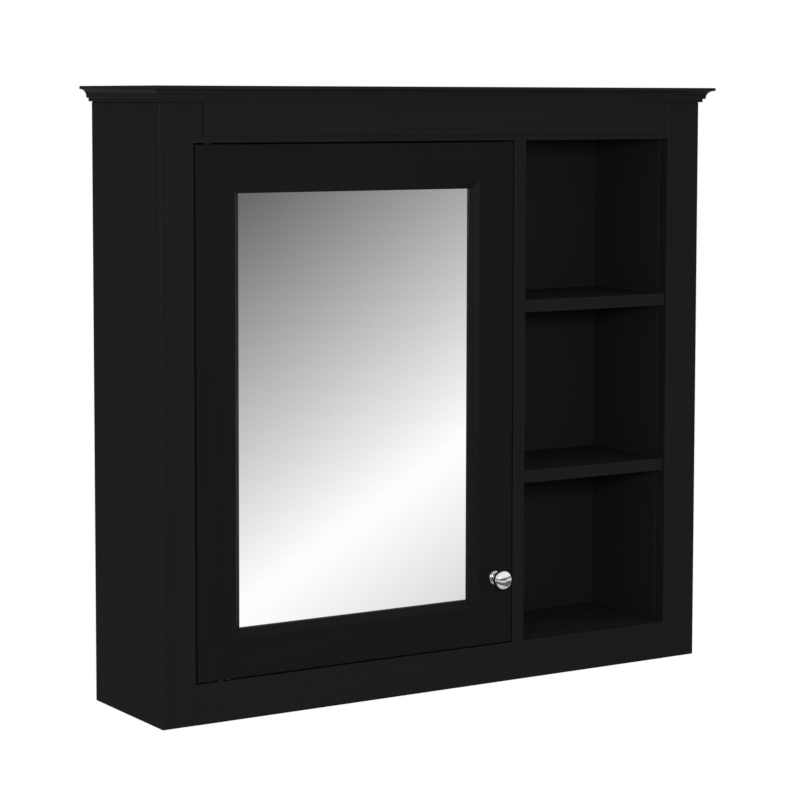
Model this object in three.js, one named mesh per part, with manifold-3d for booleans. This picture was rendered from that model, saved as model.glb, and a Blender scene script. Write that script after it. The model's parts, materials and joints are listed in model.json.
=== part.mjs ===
// Wall-hung medicine cabinet: a face-framed board case, one inset mirror door and three open bays.
// Millimetres, +Z up, +X to the right of a person facing it, front towards -Y.
// The wall plane is Y = 0, and the origin is the centre of the upper hanging rail's back face.
import * as THREE from 'three';
import { mergeVertices } from 'three/addons/utils/BufferGeometryUtils.js';
import Module from 'manifold-3d';

const wasm = await Module();
wasm.setup();

// ---------- driving dimensions ----------
const CASE_WIDTH = 732.4;
const CASE_HEIGHT = 679.7; // from the lower edge of the sides to the underside of the top board
const CASE_DEPTH = 166; // from the wall to the face of the front frame

const TOP_THICKNESS = 17.2;
const TOP_OVERHANG = 14.8; // past the front and both ends
const TOP_FILLET_OUT = 13.9; // where the cove starts, measured out from the case
const TOP_FILLET_DOWN = 3.6;
const COVE_FOOT_OUT = 6.4;
const COVE_FOOT_DOWN = 12.2;
const BEAD_OUT = 3.7;
const BEAD_STEP = 1.1;
const COVE_STEPS = 6;

const SIDE_THICKNESS = 15;
const FRAME_THICKNESS = 17; // stiles and rails of the front frame
const STILE_LEFT_WIDTH = 41;
const STILE_RIGHT_WIDTH = 46.4;
const HEADER_HEIGHT = 44.2;
const BOTTOM_RAIL_HEIGHT = 45;

const FRIEZE_THICKNESS = 3;
const FRIEZE_END_MARGIN = 11.8; // from the stile's inner edge to the panel's end
const FRIEZE_LOWER_MARGIN = 7; // of plain header below the panel

const PANEL_THICKNESS = 15; // case top and case bottom
const DIVIDER_THICKNESS = 16;
const BAY_WIDTH = 209;
const LINER_THICKNESS = 12;
const BAY_SHELF_THICKNESS = 14.4;
const BAY_SHELF_SETBACK = 3;
const BAY_SHELF_LEVELS = ['lower', 'upper']; // from the bottom up

const BACK_THICKNESS = 5;
const HANG_RAIL_THICKNESS = 15;
const HANG_RAIL_HEIGHT = 80;
const LOWER_RAIL_HEIGHT = 50;

const DOOR_GAP = 2;
const DOOR_SIDE_GAP = 2.4; // next to the divider
const DOOR_THICKNESS = 18;
const DOOR_STILE_WIDTH = 47.6; // flat part of the face
const DOOR_RAIL_WIDTH = 44.9;
const SLOPE_WIDTH = 8.4; // sloped inner edge of the door frame
const SLOPE_DEPTH = 7;
const SIGHT_DEPTH = 10; // from the face back to the mirror
const REBATE_WIDTH = 8; // how far the frame laps over the mirror
const MIRROR_THICKNESS = 4;
const GLASS_CLEARANCE = 0.5;
const COPE_CLEARANCE = 0.3; // between the end of a rail and the stile's shaped edge

const SHELF_THICKNESS = 12;
const SHELF_END_CLEARANCE = 1;
const SHELF_FRONT_SETBACK = 40; // from the face of the front frame
const SHELF_BACK_CLEARANCE = 1;
const SHELF_LEVELS = ['lower', 'upper']; // from the bottom up
const PIN_RADIUS = 2.5;
const PIN_FLANGE_RADIUS = 4;
const PIN_FLANGE_LENGTH = 1.2;
const PIN_REACH = 9; // support length past the flange
const PIN_DEPTH = 9; // length inside the board
const PIN_HOLE_CLEARANCE = 0.3;
const PIN_HOLE_EXTRA_DEPTH = 1;
const PIN_REST_CLEARANCE = 0.05;
const PIN_EDGE_MARGIN = 22; // from a shelf's front or back edge to its pins
const PIN_HOLE_PITCH = 32;
const PIN_HOLES_EACH_WAY = 1; // spare holes above and below the one in use

const PIVOT_INSET = 18; // pivot axis from the door's hinge edge
const PIVOT_SETBACK = 7; // pivot axis from the door's face
const PIVOT_PIN_RADIUS = 2.5;
const PIVOT_CLEARANCE = 0.3;
const PIVOT_SHOULDER_RADIUS = 4.5;
const PIVOT_SHOULDER_LENGTH = 1.2;
const PIVOT_PLATE_THICKNESS = 2.5;
const PIVOT_PLATE_WIDTH = 11;
const PIVOT_PLATE_LENGTH = 38;
const PIVOT_PLATE_END = 8; // pivot axis from the plate's near end
const PIVOT_SCREW_FIRST = 13; // pivot axis to the first screw
const PIVOT_SCREW_PITCH = 11;
const POCKET_CLEARANCE = 0.3;
const PIVOT_POCKET_EXTRA = 0.3; // under the plate
const PIVOT_BORE_EXTRA = 1; // past the plate's far side

const SCREW_HEAD_RADIUS = 3.2;
const SCREW_HEAD_HEIGHT = 1.9;
const SCREW_SHANK_RADIUS = 1.5;
const SCREW_LENGTH = 13;
const SCREW_POINT = 2.5;
const SCREW_CLEARANCE = 0.3;
const CUT_PROUD = 0.5; // how far a hole's solid stands out of its mouth
const POCKET_PROUD = 1; // how far a pocket's solid stands out of its mouth

const HANGER_INSET = 60; // plate centre from the case's end
const HANGER_WIDTH = 18;
const HANGER_HEIGHT = 56;
const HANGER_THICKNESS = 1.8;
const HANGER_SCREW_OFFSET = 22;
const KEYHOLE_RADIUS = 5.2;
const KEYHOLE_SLOT_HALF = 2.7;
const KEYHOLE_LENGTH = 16; // between the centres of the round hole and the slot's end
const KEYHOLE_POCKET_WIDTH = 13;
const KEYHOLE_POCKET_DEPTH = 9;
const KEYHOLE_POCKET_EXTRA = 1.5;

const KNOB_FLANGE_RADIUS = 8;
const KNOB_FLANGE_LENGTH = 2.4;
const KNOB_NECK_RADIUS = 4.6;
const KNOB_NECK_WAIST_RADIUS = 4.14;
const KNOB_NECK_WAIST = 4.8; // from the door's face
const KNOB_NECK_END = 12.5;
const KNOB_NECK_STEPS = 5;
const KNOB_HEAD_RADIUS = 11.6;
const KNOB_RIM_START = 15.5;
const KNOB_RIM_END = 18.5;
const KNOB_DOME_STEPS = 6;
const KNOB_LENGTH = 25.5;
const KNOB_HEIGHT = 78; // knob centre above the door's lower edge
const KNOB_BORE_DEPTH = 12;
const MACHINE_SCREW_RADIUS = 2;
const MACHINE_SCREW_ENGAGE = 10;
const MACHINE_HEAD_RADIUS = 4;
const MACHINE_HEAD_HEIGHT = 2.4;
const MACHINE_HEAD_FLAT_RADIUS = 2.8; // the flat middle of the head
const MACHINE_HEAD_RIM = 1.2; // height of the head's rim
const MACHINE_CLEARANCE = 0.3;
const MACHINE_BORE_EXTRA = 1; // past the door's face

const CATCH_LENGTH = 46; // along Z
const CATCH_DEPTH = 15; // along Y
const CATCH_WIDTH = 14; // out from the divider
const CATCH_CENTRE_DROP = 75; // catch centre below the door's top edge
const CATCH_SCREW_PITCH = 34;
const CATCH_LUG_THICKNESS = 4; // the board side of the two screw lugs
const CATCH_LUG_LENGTH = 12;
const CATCH_GAP = 0.4; // between the magnet and the strike plate
const STRIKE_THICKNESS = 1.2;
const STRIKE_WIDTH = 14;
const STRIKE_HEIGHT = 38;
const STRIKE_SCREW_LENGTH = 9;
const STRIKE_EDGE_MARGIN = 1; // at least this far from the door's edge

const ROUND_SIDES = 24;
const SMALL_ROUND_SIDES = 12;
const WELD_DISTANCE = 1e-4;

// Faces that pieces share lie on a grid that 32-bit numbers hold exactly, so that neither piece rounds past the other.
const GRID_STEPS = 1024; // to a millimetre
const onGrid = (value) => Math.round(value * GRID_STEPS) / GRID_STEPS;

// ---------- planes that the pieces share ----------
const LEFT = -CASE_WIDTH / 2;
const RIGHT = CASE_WIDTH / 2;
const FRONT = -CASE_DEPTH;
const WALL = 0;
const TOP = HANG_RAIL_HEIGHT / 2;
const BOTTOM = TOP - CASE_HEIGHT;
const FRAME_BACK = FRONT + FRAME_THICKNESS;
const INNER_LEFT = LEFT + SIDE_THICKNESS;
const INNER_RIGHT = RIGHT - SIDE_THICKNESS;
const OPENING_TOP = TOP - HEADER_HEIGHT;
const OPENING_BOTTOM = BOTTOM + BOTTOM_RAIL_HEIGHT;
const OPENING_LEFT = LEFT + STILE_LEFT_WIDTH;
const BAY_RIGHT = RIGHT - STILE_RIGHT_WIDTH;
const BAY_LEFT = BAY_RIGHT - BAY_WIDTH;
const DIVIDER_LEFT = BAY_LEFT - DIVIDER_THICKNESS;
const RAIL_FRONT = WALL - HANG_RAIL_THICKNESS;
const BACK_FRONT = RAIL_FRONT - BACK_THICKNESS;

const DOOR_LEFT = OPENING_LEFT + DOOR_GAP;
const DOOR_RIGHT = DIVIDER_LEFT - DOOR_SIDE_GAP;
const DOOR_TOP = OPENING_TOP - DOOR_GAP;
const DOOR_BOTTOM = OPENING_BOTTOM + DOOR_GAP;
const DOOR_BACK = FRONT + DOOR_THICKNESS;
const PIVOT_X = DOOR_LEFT + PIVOT_INSET;
const PIVOT_Y = FRONT + PIVOT_SETBACK;

// ---------- materials ----------
const finish = (color, roughness, metalness) =>
  () => new THREE.MeshStandardMaterial({ color, roughness, metalness });
const lacquer = finish(0x17171a, 0.42, 0);
const innerLacquer = finish(0x141416, 0.55, 0);
const backBoard = finish(0x1d1b1a, 0.8, 0);
const silvering = finish(0xe8ecee, 0.02, 1);
const chrome = finish(0xd2d4d8, 0.08, 1);
const steel = finish(0x9da1a6, 0.35, 1);
const blackSteel = finish(0x26272a, 0.45, 0.8);
const plastic = finish(0x1a1a1b, 0.5, 0);

// ---------- solids ----------
const Z_UP = new THREE.Vector3(0, 0, 1);
const CYLINDER_AXIS = new THREE.Vector3(0, 1, 0);

/** A closed three.js geometry as a manifold solid, moved by a matrix. */
function toSolid(geometry, matrix = new THREE.Matrix4()) {
  const bare = geometry.clone().applyMatrix4(matrix);
  bare.deleteAttribute('normal');
  bare.deleteAttribute('uv');
  const merged = mergeVertices(bare, WELD_DISTANCE);
  return new wasm.Manifold(new wasm.Mesh({
    numProp: 3,
    vertProperties: Float32Array.from(merged.attributes.position.array),
    triVerts: Uint32Array.from(merged.index.array),
  }));
}

/** A manifold solid as a three.js geometry with flat faces. */
function toGeometry(solid) {
  const mesh = solid.getMesh();
  const shared = new THREE.BufferGeometry();
  shared.setAttribute('position', new THREE.BufferAttribute(mesh.vertProperties, mesh.numProp));
  shared.setIndex(new THREE.BufferAttribute(mesh.triVerts, 1));
  const geometry = shared.toNonIndexed();
  geometry.computeVertexNormals();
  return geometry;
}

/** The point of the grid that is nearest to a point. */
const gridPoint = (point) => new THREE.Vector3(...point.toArray().map(onGrid));

/** A turn and move that takes a shape drawn along +Y to a point and a direction. */
function along(point, direction) {
  const turn = new THREE.Quaternion().setFromUnitVectors(CYLINDER_AXIS, direction.clone().normalize());
  return new THREE.Matrix4().compose(gridPoint(point), turn, new THREE.Vector3(1, 1, 1));
}

/** A solid box from its ranges along X, Y and Z. */
function boxSolid(...ranges) {
  const snapped = ranges.map((range) => range.map(onGrid));
  const shape = new THREE.BoxGeometry(...snapped.map(([low, high]) => high - low));
  return toSolid(shape, new THREE.Matrix4().makeTranslation(...snapped.map(([low, high]) => (low + high) / 2)));
}

/** A solid turned from (radius, distance) pairs about the line from a point along a direction. */
function turnedSolid(pairs, point, direction, sides = ROUND_SIDES) {
  const outline = pairs.map(([radius, distance]) => new THREE.Vector2(radius, distance));
  return toSolid(new THREE.LatheGeometry(outline, sides), along(point, direction));
}

/** A round hole's solid, a little proud of its mouth so that the cut is clean. */
function drill(point, direction, radius, depth, sides = SMALL_ROUND_SIDES) {
  return turnedSolid([[0, -CUT_PROUD], [radius, -CUT_PROUD], [radius, depth], [0, depth]], point, direction, sides);
}

/** A flat outline of (a, b) pairs extruded along +Z. */
function prism(pairs, length) {
  const shape = new THREE.Shape(pairs.map(([a, b]) => new THREE.Vector2(onGrid(a), onGrid(b))));
  return new THREE.ExtrudeGeometry(shape, { depth: onGrid(length), bevelEnabled: false });
}

const cabinet = new THREE.Group();
const door = new THREE.Group();
cabinet.add(door);

/** Puts a solid into a group as a named mesh, its geometry centred on its own box to the nearest point of the grid. */
function place(name, solid, material, group = cabinet) {
  const geometry = toGeometry(solid);
  geometry.computeBoundingBox();
  const centre = gridPoint(geometry.boundingBox.getCenter(new THREE.Vector3()));
  geometry.translate(-centre.x, -centre.y, -centre.z);
  const mesh = new THREE.Mesh(geometry, material());
  mesh.name = name;
  mesh.position.copy(centre);
  group.add(mesh);
  return mesh;
}

/** A board from its three ranges, with any cuts taken out of it. */
function board(name, xs, ys, zs, material, cuts = [], group = cabinet) {
  const solid = cuts.reduce((rest, cut) => rest.subtract(cut), boxSolid(xs, ys, zs));
  return place(name, solid, material, group);
}

// ---------- screws ----------
const woodScrewOutline = (length, grow = 0) => [
  [0, -grow],
  [SCREW_HEAD_RADIUS + grow, -grow],
  [SCREW_HEAD_RADIUS + grow, grow / 2],
  [SCREW_SHANK_RADIUS + grow, SCREW_HEAD_HEIGHT + grow],
  [SCREW_SHANK_RADIUS + grow, length - SCREW_POINT + grow],
  [0, length + grow],
];

/** A countersunk wood screw whose flat head lies at a point, pointing along a direction. */
function woodScrew(name, point, direction, group = cabinet, length = SCREW_LENGTH) {
  place(name, turnedSolid(woodScrewOutline(length), point, direction, SMALL_ROUND_SIDES), steel, group);
}

/** The hole that such a screw needs in what it holds. */
function screwHole(point, direction, length = SCREW_LENGTH) {
  return turnedSolid(woodScrewOutline(length, SCREW_CLEARANCE), point, direction, SMALL_ROUND_SIDES);
}

// ---------- moulded top board ----------
/** The routed edge as (out, down) pairs from its upper outer corner to the case. */
function topEdge() {
  const cove = new THREE.EllipseCurve(
    TOP_FILLET_OUT, COVE_FOOT_DOWN,
    TOP_FILLET_OUT - COVE_FOOT_OUT, COVE_FOOT_DOWN - TOP_FILLET_DOWN,
    1.5 * Math.PI, Math.PI, true,
  ).getPoints(COVE_STEPS);
  return [
    [TOP_OVERHANG, 0],
    [TOP_OVERHANG, TOP_FILLET_DOWN],
    ...cove.map((point) => [point.x, point.y]),
    [COVE_FOOT_OUT, COVE_FOOT_DOWN + BEAD_STEP],
    [BEAD_OUT, COVE_FOOT_DOWN + BEAD_STEP],
    [BEAD_OUT, TOP_THICKNESS],
  ];
}

/** The board is where the front edge's prism and the two ends' prism meet, which mitres the corners. */
function makeTopBoard() {
  const reach = CASE_WIDTH + 4 * TOP_OVERHANG;
  const frontShape = [[WALL, TOP_THICKNESS], ...topEdge().map(([out, down]) => [FRONT - out, TOP_THICKNESS - down]),
    [WALL, 0]];
  const alongX = toSolid(
    prism(frontShape, reach),
    new THREE.Matrix4().makeBasis(new THREE.Vector3(0, 1, 0), Z_UP, new THREE.Vector3(1, 0, 0))
      .setPosition(onGrid(-reach / 2), 0, onGrid(TOP)),
  );
  const rightEdge = topEdge().map(([out, down]) => [RIGHT + out, TOP_THICKNESS - down]);
  const leftEdge = topEdge().map(([out, down]) => [LEFT - out, TOP_THICKNESS - down]).reverse();
  const alongY = toSolid(
    prism([...leftEdge, ...rightEdge], reach),
    new THREE.Matrix4().makeBasis(new THREE.Vector3(1, 0, 0), Z_UP, new THREE.Vector3(0, -1, 0))
      .setPosition(0, onGrid(TOP_OVERHANG), onGrid(TOP)),
  );
  place('top_board', alongX.intersect(alongY), lacquer);
}

// ---------- adjustable shelves ----------
const shelfXs = [INNER_LEFT + SHELF_END_CLEARANCE, DIVIDER_LEFT - SHELF_END_CLEARANCE];
const shelfYs = [FRONT + SHELF_FRONT_SETBACK, BACK_FRONT - SHELF_BACK_CLEARANCE];
const shelfPitch = (OPENING_TOP - OPENING_BOTTOM) / (SHELF_LEVELS.length + 1);
const shelfBottoms = SHELF_LEVELS.map((_, i) => OPENING_BOTTOM + shelfPitch * (i + 1) - SHELF_THICKNESS / 2);
const pinHeights = shelfBottoms.map((z) => z - PIN_RADIUS - PIN_REST_CLEARANCE);
const pinYs = { front: shelfYs[0] + PIN_EDGE_MARGIN, back: shelfYs[1] - PIN_EDGE_MARGIN };
const INWARD = { left: new THREE.Vector3(1, 0, 0), right: new THREE.Vector3(-1, 0, 0) };
const supportX = { left: INNER_LEFT, right: DIVIDER_LEFT };

/** All the shelf pin holes of one upright, those in use and the spare ones above and below. */
function pinHoles(hand) {
  const into = INWARD[hand].clone().negate();
  const holes = [];
  for (const height of pinHeights) {
    for (let step = -PIN_HOLES_EACH_WAY; step <= PIN_HOLES_EACH_WAY; step += 1) {
      for (const y of Object.values(pinYs)) {
        const mouth = new THREE.Vector3(supportX[hand], y, height + step * PIN_HOLE_PITCH);
        holes.push(drill(mouth, into, PIN_RADIUS + PIN_HOLE_CLEARANCE, PIN_DEPTH + PIN_HOLE_EXTRA_DEPTH));
      }
    }
  }
  return holes;
}

function makeShelves() {
  const pinOutline = [
    [0, -PIN_DEPTH], [PIN_RADIUS, -PIN_DEPTH], [PIN_RADIUS, PIN_REST_CLEARANCE],
    [PIN_FLANGE_RADIUS, PIN_REST_CLEARANCE], [PIN_FLANGE_RADIUS, PIN_REST_CLEARANCE + PIN_FLANGE_LENGTH],
    [PIN_RADIUS, PIN_REST_CLEARANCE + PIN_FLANGE_LENGTH], [PIN_RADIUS, PIN_REACH], [0, PIN_REACH],
  ];
  const flangeRecess = PIN_FLANGE_LENGTH + 2 * PIN_REST_CLEARANCE + PIN_HOLE_CLEARANCE;
  shelfBottoms.forEach((bottom, i) => {
    const notches = [];
    for (const hand of ['left', 'right']) {
      for (const [end, y] of Object.entries(pinYs)) {
        const centre = new THREE.Vector3(supportX[hand], y, pinHeights[i]);
        const pin = turnedSolid(pinOutline, centre, INWARD[hand], SMALL_ROUND_SIDES);
        place(`shelf_pin_${SHELF_LEVELS[i]}_${hand}_${end}`, pin, steel);
        notches.push(drill(centre, INWARD[hand], PIN_FLANGE_RADIUS + PIN_HOLE_CLEARANCE, flangeRecess));
      }
    }
    board(`shelf_${SHELF_LEVELS[i]}`, shelfXs, shelfYs, [bottom, bottom + SHELF_THICKNESS], innerLacquer, notches);
  });
}

// ---------- pivot hinges ----------
/** One hidden pivot hinge; side is +1 at the door's top edge and -1 at its bottom edge. */
function pivotHinge(level) {
  const side = level === 'upper' ? 1 : -1;
  const doorEdge = side > 0 ? DOOR_TOP : DOOR_BOTTOM;
  const caseEdge = side > 0 ? OPENING_TOP : OPENING_BOTTOM;
  const away = new THREE.Vector3(0, 0, side);
  const xs = [PIVOT_X - PIVOT_PLATE_END, PIVOT_X - PIVOT_PLATE_END + PIVOT_PLATE_LENGTH];
  const ys = [PIVOT_Y - PIVOT_PLATE_WIDTH / 2, PIVOT_Y + PIVOT_PLATE_WIDTH / 2];
  const span = (from, thickness) => [from, from + thickness].sort((a, b) => a - b);
  const grown = ([low, high]) => [low - POCKET_CLEARANCE, high + POCKET_CLEARANCE];
  const screwXs = [0, 1].map((i) => PIVOT_X + PIVOT_SCREW_FIRST + i * PIVOT_SCREW_PITCH);
  const bore = (edge, direction) =>
    drill(new THREE.Vector3(PIVOT_X, PIVOT_Y, edge), direction, PIVOT_PIN_RADIUS + PIVOT_CLEARANCE,
      PIVOT_PLATE_THICKNESS + PIVOT_BORE_EXTRA, ROUND_SIDES);
  const leaf = (edge, direction) => {
    const depth = PIVOT_PLATE_THICKNESS * direction.z;
    const heads = screwXs.map((x) => new THREE.Vector3(x, PIVOT_Y, edge));
    return {
      heads,
      direction,
      plate: [bore(edge, direction), ...heads.map((head) => screwHole(head, direction))]
        .reduce((rest, cut) => rest.subtract(cut), boxSolid(xs, ys, span(edge, depth))),
      pocket: [boxSolid(grown(xs), grown(ys), span(edge - POCKET_PROUD * direction.z,
        depth + (POCKET_PROUD + PIVOT_POCKET_EXTRA) * direction.z)),
        ...heads.map((head) => screwHole(head, direction))],
    };
  };
  const inner = away.clone().negate();
  const gap = Math.abs(caseEdge - doorEdge);
  const shoulder = (gap - PIVOT_SHOULDER_LENGTH) / 2;
  const reach = PIVOT_PLATE_THICKNESS - PIVOT_CLEARANCE;
  const pin = turnedSolid([
    [0, -reach], [PIVOT_PIN_RADIUS, -reach], [PIVOT_PIN_RADIUS, shoulder],
    [PIVOT_SHOULDER_RADIUS, shoulder], [PIVOT_SHOULDER_RADIUS, shoulder + PIVOT_SHOULDER_LENGTH],
    [PIVOT_PIN_RADIUS, shoulder + PIVOT_SHOULDER_LENGTH], [PIVOT_PIN_RADIUS, gap + reach], [0, gap + reach],
  ], new THREE.Vector3(PIVOT_X, PIVOT_Y, doorEdge), away);
  return { level, pin, caseLeaf: leaf(caseEdge, away), doorLeaf: leaf(doorEdge, inner) };
}

function placeHinge({ level, pin, caseLeaf, doorLeaf }) {
  place(`pivot_plate_case_${level}`, caseLeaf.plate, blackSteel);
  place(`pivot_plate_door_${level}`, doorLeaf.plate, blackSteel, door);
  place(`pivot_pin_${level}`, pin, blackSteel);
  caseLeaf.heads.forEach((head, i) =>
    woodScrew(`pivot_screw_case_${level}_${i + 1}`, head, caseLeaf.direction));
  doorLeaf.heads.forEach((head, i) =>
    woodScrew(`pivot_screw_door_${level}_${i + 1}`, head, doorLeaf.direction, door));
}

const hinges = ['upper', 'lower'].map(pivotHinge);
const [upperHinge, lowerHinge] = hinges;

// ---------- wall hangers ----------
const HANGER_XS = { left: LEFT + HANGER_INSET, right: RIGHT - HANGER_INSET };
const TO_ROOM = new THREE.Vector3(0, -1, 0);
const TO_WALL = new THREE.Vector3(0, 1, 0);

/** Where the two screws of a hanger plate sit, on the wall side of the plate. */
const hangerHeads = (x) => [-1, 1].map((end) => new THREE.Vector3(x, WALL, end * HANGER_SCREW_OFFSET));

/** A flat plate with a keyhole, drawn in X and Z and extruded from the wall plane into the rail. */
function hangerPlate(x) {
  const outline = new THREE.Shape();
  const corner = HANGER_WIDTH / 2;
  const straight = HANGER_HEIGHT / 2 - corner;
  outline.absarc(0, straight, corner, 0, Math.PI, false);
  outline.absarc(0, -straight, corner, Math.PI, 2 * Math.PI, false);
  outline.closePath();
  const low = -KEYHOLE_LENGTH / 2;
  const neck = Math.asin(KEYHOLE_SLOT_HALF / KEYHOLE_RADIUS);
  const keyhole = new THREE.Path();
  keyhole.absarc(0, -low, KEYHOLE_SLOT_HALF, 0, Math.PI, false);
  keyhole.absarc(0, low, KEYHOLE_RADIUS, Math.PI / 2 + neck, Math.PI / 2 - neck + 2 * Math.PI, false);
  keyhole.closePath();
  outline.holes.push(keyhole);
  const flat = new THREE.ExtrudeGeometry(outline, {
    depth: HANGER_THICKNESS, bevelEnabled: false, curveSegments: SMALL_ROUND_SIDES,
  });
  const turn = new THREE.Matrix4().makeBasis(new THREE.Vector3(1, 0, 0), Z_UP, TO_ROOM).setPosition(x, WALL, 0);
  return hangerHeads(x).reduce((rest, head) => rest.subtract(screwHole(head, TO_ROOM)), toSolid(flat, turn));
}

/** The shallow recess for the plate, the deeper one for the wall screw's head, and the screws' holes. */
function hangerPockets(x) {
  const half = HANGER_WIDTH / 2 + POCKET_CLEARANCE;
  const tall = HANGER_HEIGHT / 2 + POCKET_CLEARANCE;
  const wide = KEYHOLE_POCKET_WIDTH / 2;
  const reach = KEYHOLE_LENGTH / 2 + KEYHOLE_RADIUS + KEYHOLE_POCKET_EXTRA;
  return [
    boxSolid([x - half, x + half], [WALL - HANGER_THICKNESS - POCKET_CLEARANCE, WALL + POCKET_PROUD], [-tall, tall]),
    boxSolid([x - wide, x + wide], [WALL - HANGER_THICKNESS - KEYHOLE_POCKET_DEPTH, WALL + POCKET_PROUD],
      [-reach, reach]),
    ...hangerHeads(x).map((head) => screwHole(head, TO_ROOM)),
  ];
}

// ---------- catch ----------
const catchZ = DOOR_TOP - CATCH_CENTRE_DROP;
const catchFront = DOOR_BACK + STRIKE_THICKNESS + CATCH_GAP;
const catchHeads = [-1, 1].map((end) => new THREE.Vector3(
  DIVIDER_LEFT - CATCH_LUG_THICKNESS, catchFront + CATCH_DEPTH / 2, catchZ + end * CATCH_SCREW_PITCH / 2));
const TO_DIVIDER = new THREE.Vector3(1, 0, 0);

function makeCatch() {
  const ys = [catchFront, catchFront + CATCH_DEPTH];
  const half = CATCH_LENGTH / 2;
  const core = boxSolid([DIVIDER_LEFT - CATCH_WIDTH, DIVIDER_LEFT], ys,
    [catchZ - half + CATCH_LUG_LENGTH, catchZ + half - CATCH_LUG_LENGTH]);
  const lugs = boxSolid([DIVIDER_LEFT - CATCH_LUG_THICKNESS, DIVIDER_LEFT], ys, [catchZ - half, catchZ + half]);
  const body = catchHeads.reduce((rest, head) => rest.subtract(screwHole(head, TO_DIVIDER)), core.add(lugs));
  place('catch_body', body, plastic);
  catchHeads.forEach((head, i) => woodScrew(`catch_screw_${i + 1}`, head, TO_DIVIDER));
}

// ---------- case ----------
function makeCase() {
  const fullHeight = [BOTTOM, TOP];
  const behindFrame = [FRAME_BACK, WALL];
  const inside = [FRAME_BACK, BACK_FRONT];
  const between = [OPENING_BOTTOM, OPENING_TOP];
  const innerXs = [INNER_LEFT, INNER_RIGHT];
  makeTopBoard();
  board('side_left', [LEFT, INNER_LEFT], behindFrame, fullHeight, lacquer, pinHoles('left'));
  board('side_right', [INNER_RIGHT, RIGHT], behindFrame, fullHeight, lacquer);
  board('stile_left', [LEFT, OPENING_LEFT], [FRONT, FRAME_BACK], fullHeight, lacquer);
  board('stile_right', [BAY_RIGHT, RIGHT], [FRONT, FRAME_BACK], fullHeight, lacquer);
  board('header_rail', [OPENING_LEFT, BAY_RIGHT], [FRONT, FRAME_BACK], [OPENING_TOP, TOP], lacquer,
    upperHinge.caseLeaf.pocket);
  board('bottom_rail', [OPENING_LEFT, BAY_RIGHT], [FRONT, FRAME_BACK], [BOTTOM, OPENING_BOTTOM], lacquer,
    lowerHinge.caseLeaf.pocket);
  board('frieze_panel', [OPENING_LEFT + FRIEZE_END_MARGIN, BAY_RIGHT - FRIEZE_END_MARGIN],
    [FRONT - FRIEZE_THICKNESS, FRONT], [OPENING_TOP + FRIEZE_LOWER_MARGIN, TOP], lacquer);
  board('case_top', innerXs, inside, [OPENING_TOP, OPENING_TOP + PANEL_THICKNESS], innerLacquer);
  board('case_bottom', innerXs, inside, [OPENING_BOTTOM - PANEL_THICKNESS, OPENING_BOTTOM], innerLacquer);
  board('divider', [DIVIDER_LEFT, BAY_LEFT], [FRONT, BACK_FRONT], between, lacquer,
    [...pinHoles('right'), ...catchHeads.map((head) => screwHole(head, TO_DIVIDER))]);
  board('bay_liner', [BAY_RIGHT, BAY_RIGHT + LINER_THICKNESS], inside, between, innerLacquer);
  board('back_panel', innerXs, [BACK_FRONT, RAIL_FRONT], fullHeight, backBoard);
  board('hanging_rail_upper', innerXs, [RAIL_FRONT, WALL], [TOP - HANG_RAIL_HEIGHT, TOP], backBoard,
    Object.values(HANGER_XS).flatMap(hangerPockets));
  board('hanging_rail_lower', innerXs, [RAIL_FRONT, WALL], [BOTTOM, BOTTOM + LOWER_RAIL_HEIGHT], backBoard);
  for (const [hand, x] of Object.entries(HANGER_XS)) {
    place(`hanger_plate_${hand}`, hangerPlate(x), steel);
    hangerHeads(x).forEach((head, i) => woodScrew(`hanger_screw_${hand}_${i + 1}`, head, TO_ROOM, cabinet,
      HANG_RAIL_THICKNESS - SCREW_POINT));
  }
}

function makeBayShelves() {
  const shelves = BAY_SHELF_LEVELS.length;
  const clear = (OPENING_TOP - OPENING_BOTTOM - shelves * BAY_SHELF_THICKNESS) / (shelves + 1);
  BAY_SHELF_LEVELS.forEach((level, i) => {
    const low = OPENING_BOTTOM + (i + 1) * clear + i * BAY_SHELF_THICKNESS;
    board(`bay_shelf_${level}`, [BAY_LEFT, BAY_RIGHT], [FRONT + BAY_SHELF_SETBACK, BACK_FRONT],
      [low, low + BAY_SHELF_THICKNESS], lacquer);
  });
}

// ---------- door ----------
/** The section of a door member as (in from its outer edge, back from the face) pairs. */
const memberSection = (width) => {
  const sight = width + SLOPE_WIDTH;
  return [
    [0, 0], [width, 0], [sight, SLOPE_DEPTH], [sight, SIGHT_DEPTH],
    [sight - REBATE_WIDTH, SIGHT_DEPTH], [sight - REBATE_WIDTH, DOOR_THICKNESS], [0, DOOR_THICKNESS],
  ];
};

/** A door stile standing on the door's lower edge; inward is +1 for the left one and -1 for the right. */
function doorStile(outerX, inward) {
  const section = memberSection(DOOR_STILE_WIDTH).map(([across, back]) => [outerX + inward * across, FRONT + back]);
  const height = onGrid(DOOR_TOP) - onGrid(DOOR_BOTTOM);
  return toSolid(prism(section, height), new THREE.Matrix4().makeTranslation(0, 0, onGrid(DOOR_BOTTOM)));
}

/** A door rail between the stiles' flat faces, its ends shaped to the stiles' inner edges. */
function doorRail(outerZ, inward) {
  const length = DOOR_RIGHT - DOOR_LEFT - 2 * DOOR_STILE_WIDTH;
  const section = memberSection(DOOR_RAIL_WIDTH).map(([across, back]) => [FRONT + back, outerZ + inward * across]);
  const turn = new THREE.Matrix4()
    .makeBasis(new THREE.Vector3(0, 1, 0), Z_UP, new THREE.Vector3(1, 0, 0))
    .setPosition(onGrid(DOOR_LEFT + DOOR_STILE_WIDTH), 0, 0);
  return toSolid(prism(section, length), turn)
    .subtract(doorStile(DOOR_LEFT + COPE_CLEARANCE, 1))
    .subtract(doorStile(DOOR_RIGHT - COPE_CLEARANCE, -1));
}

const knobX = DOOR_RIGHT - DOOR_STILE_WIDTH / 2;
const knobZ = DOOR_BOTTOM + KNOB_HEIGHT;

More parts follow.
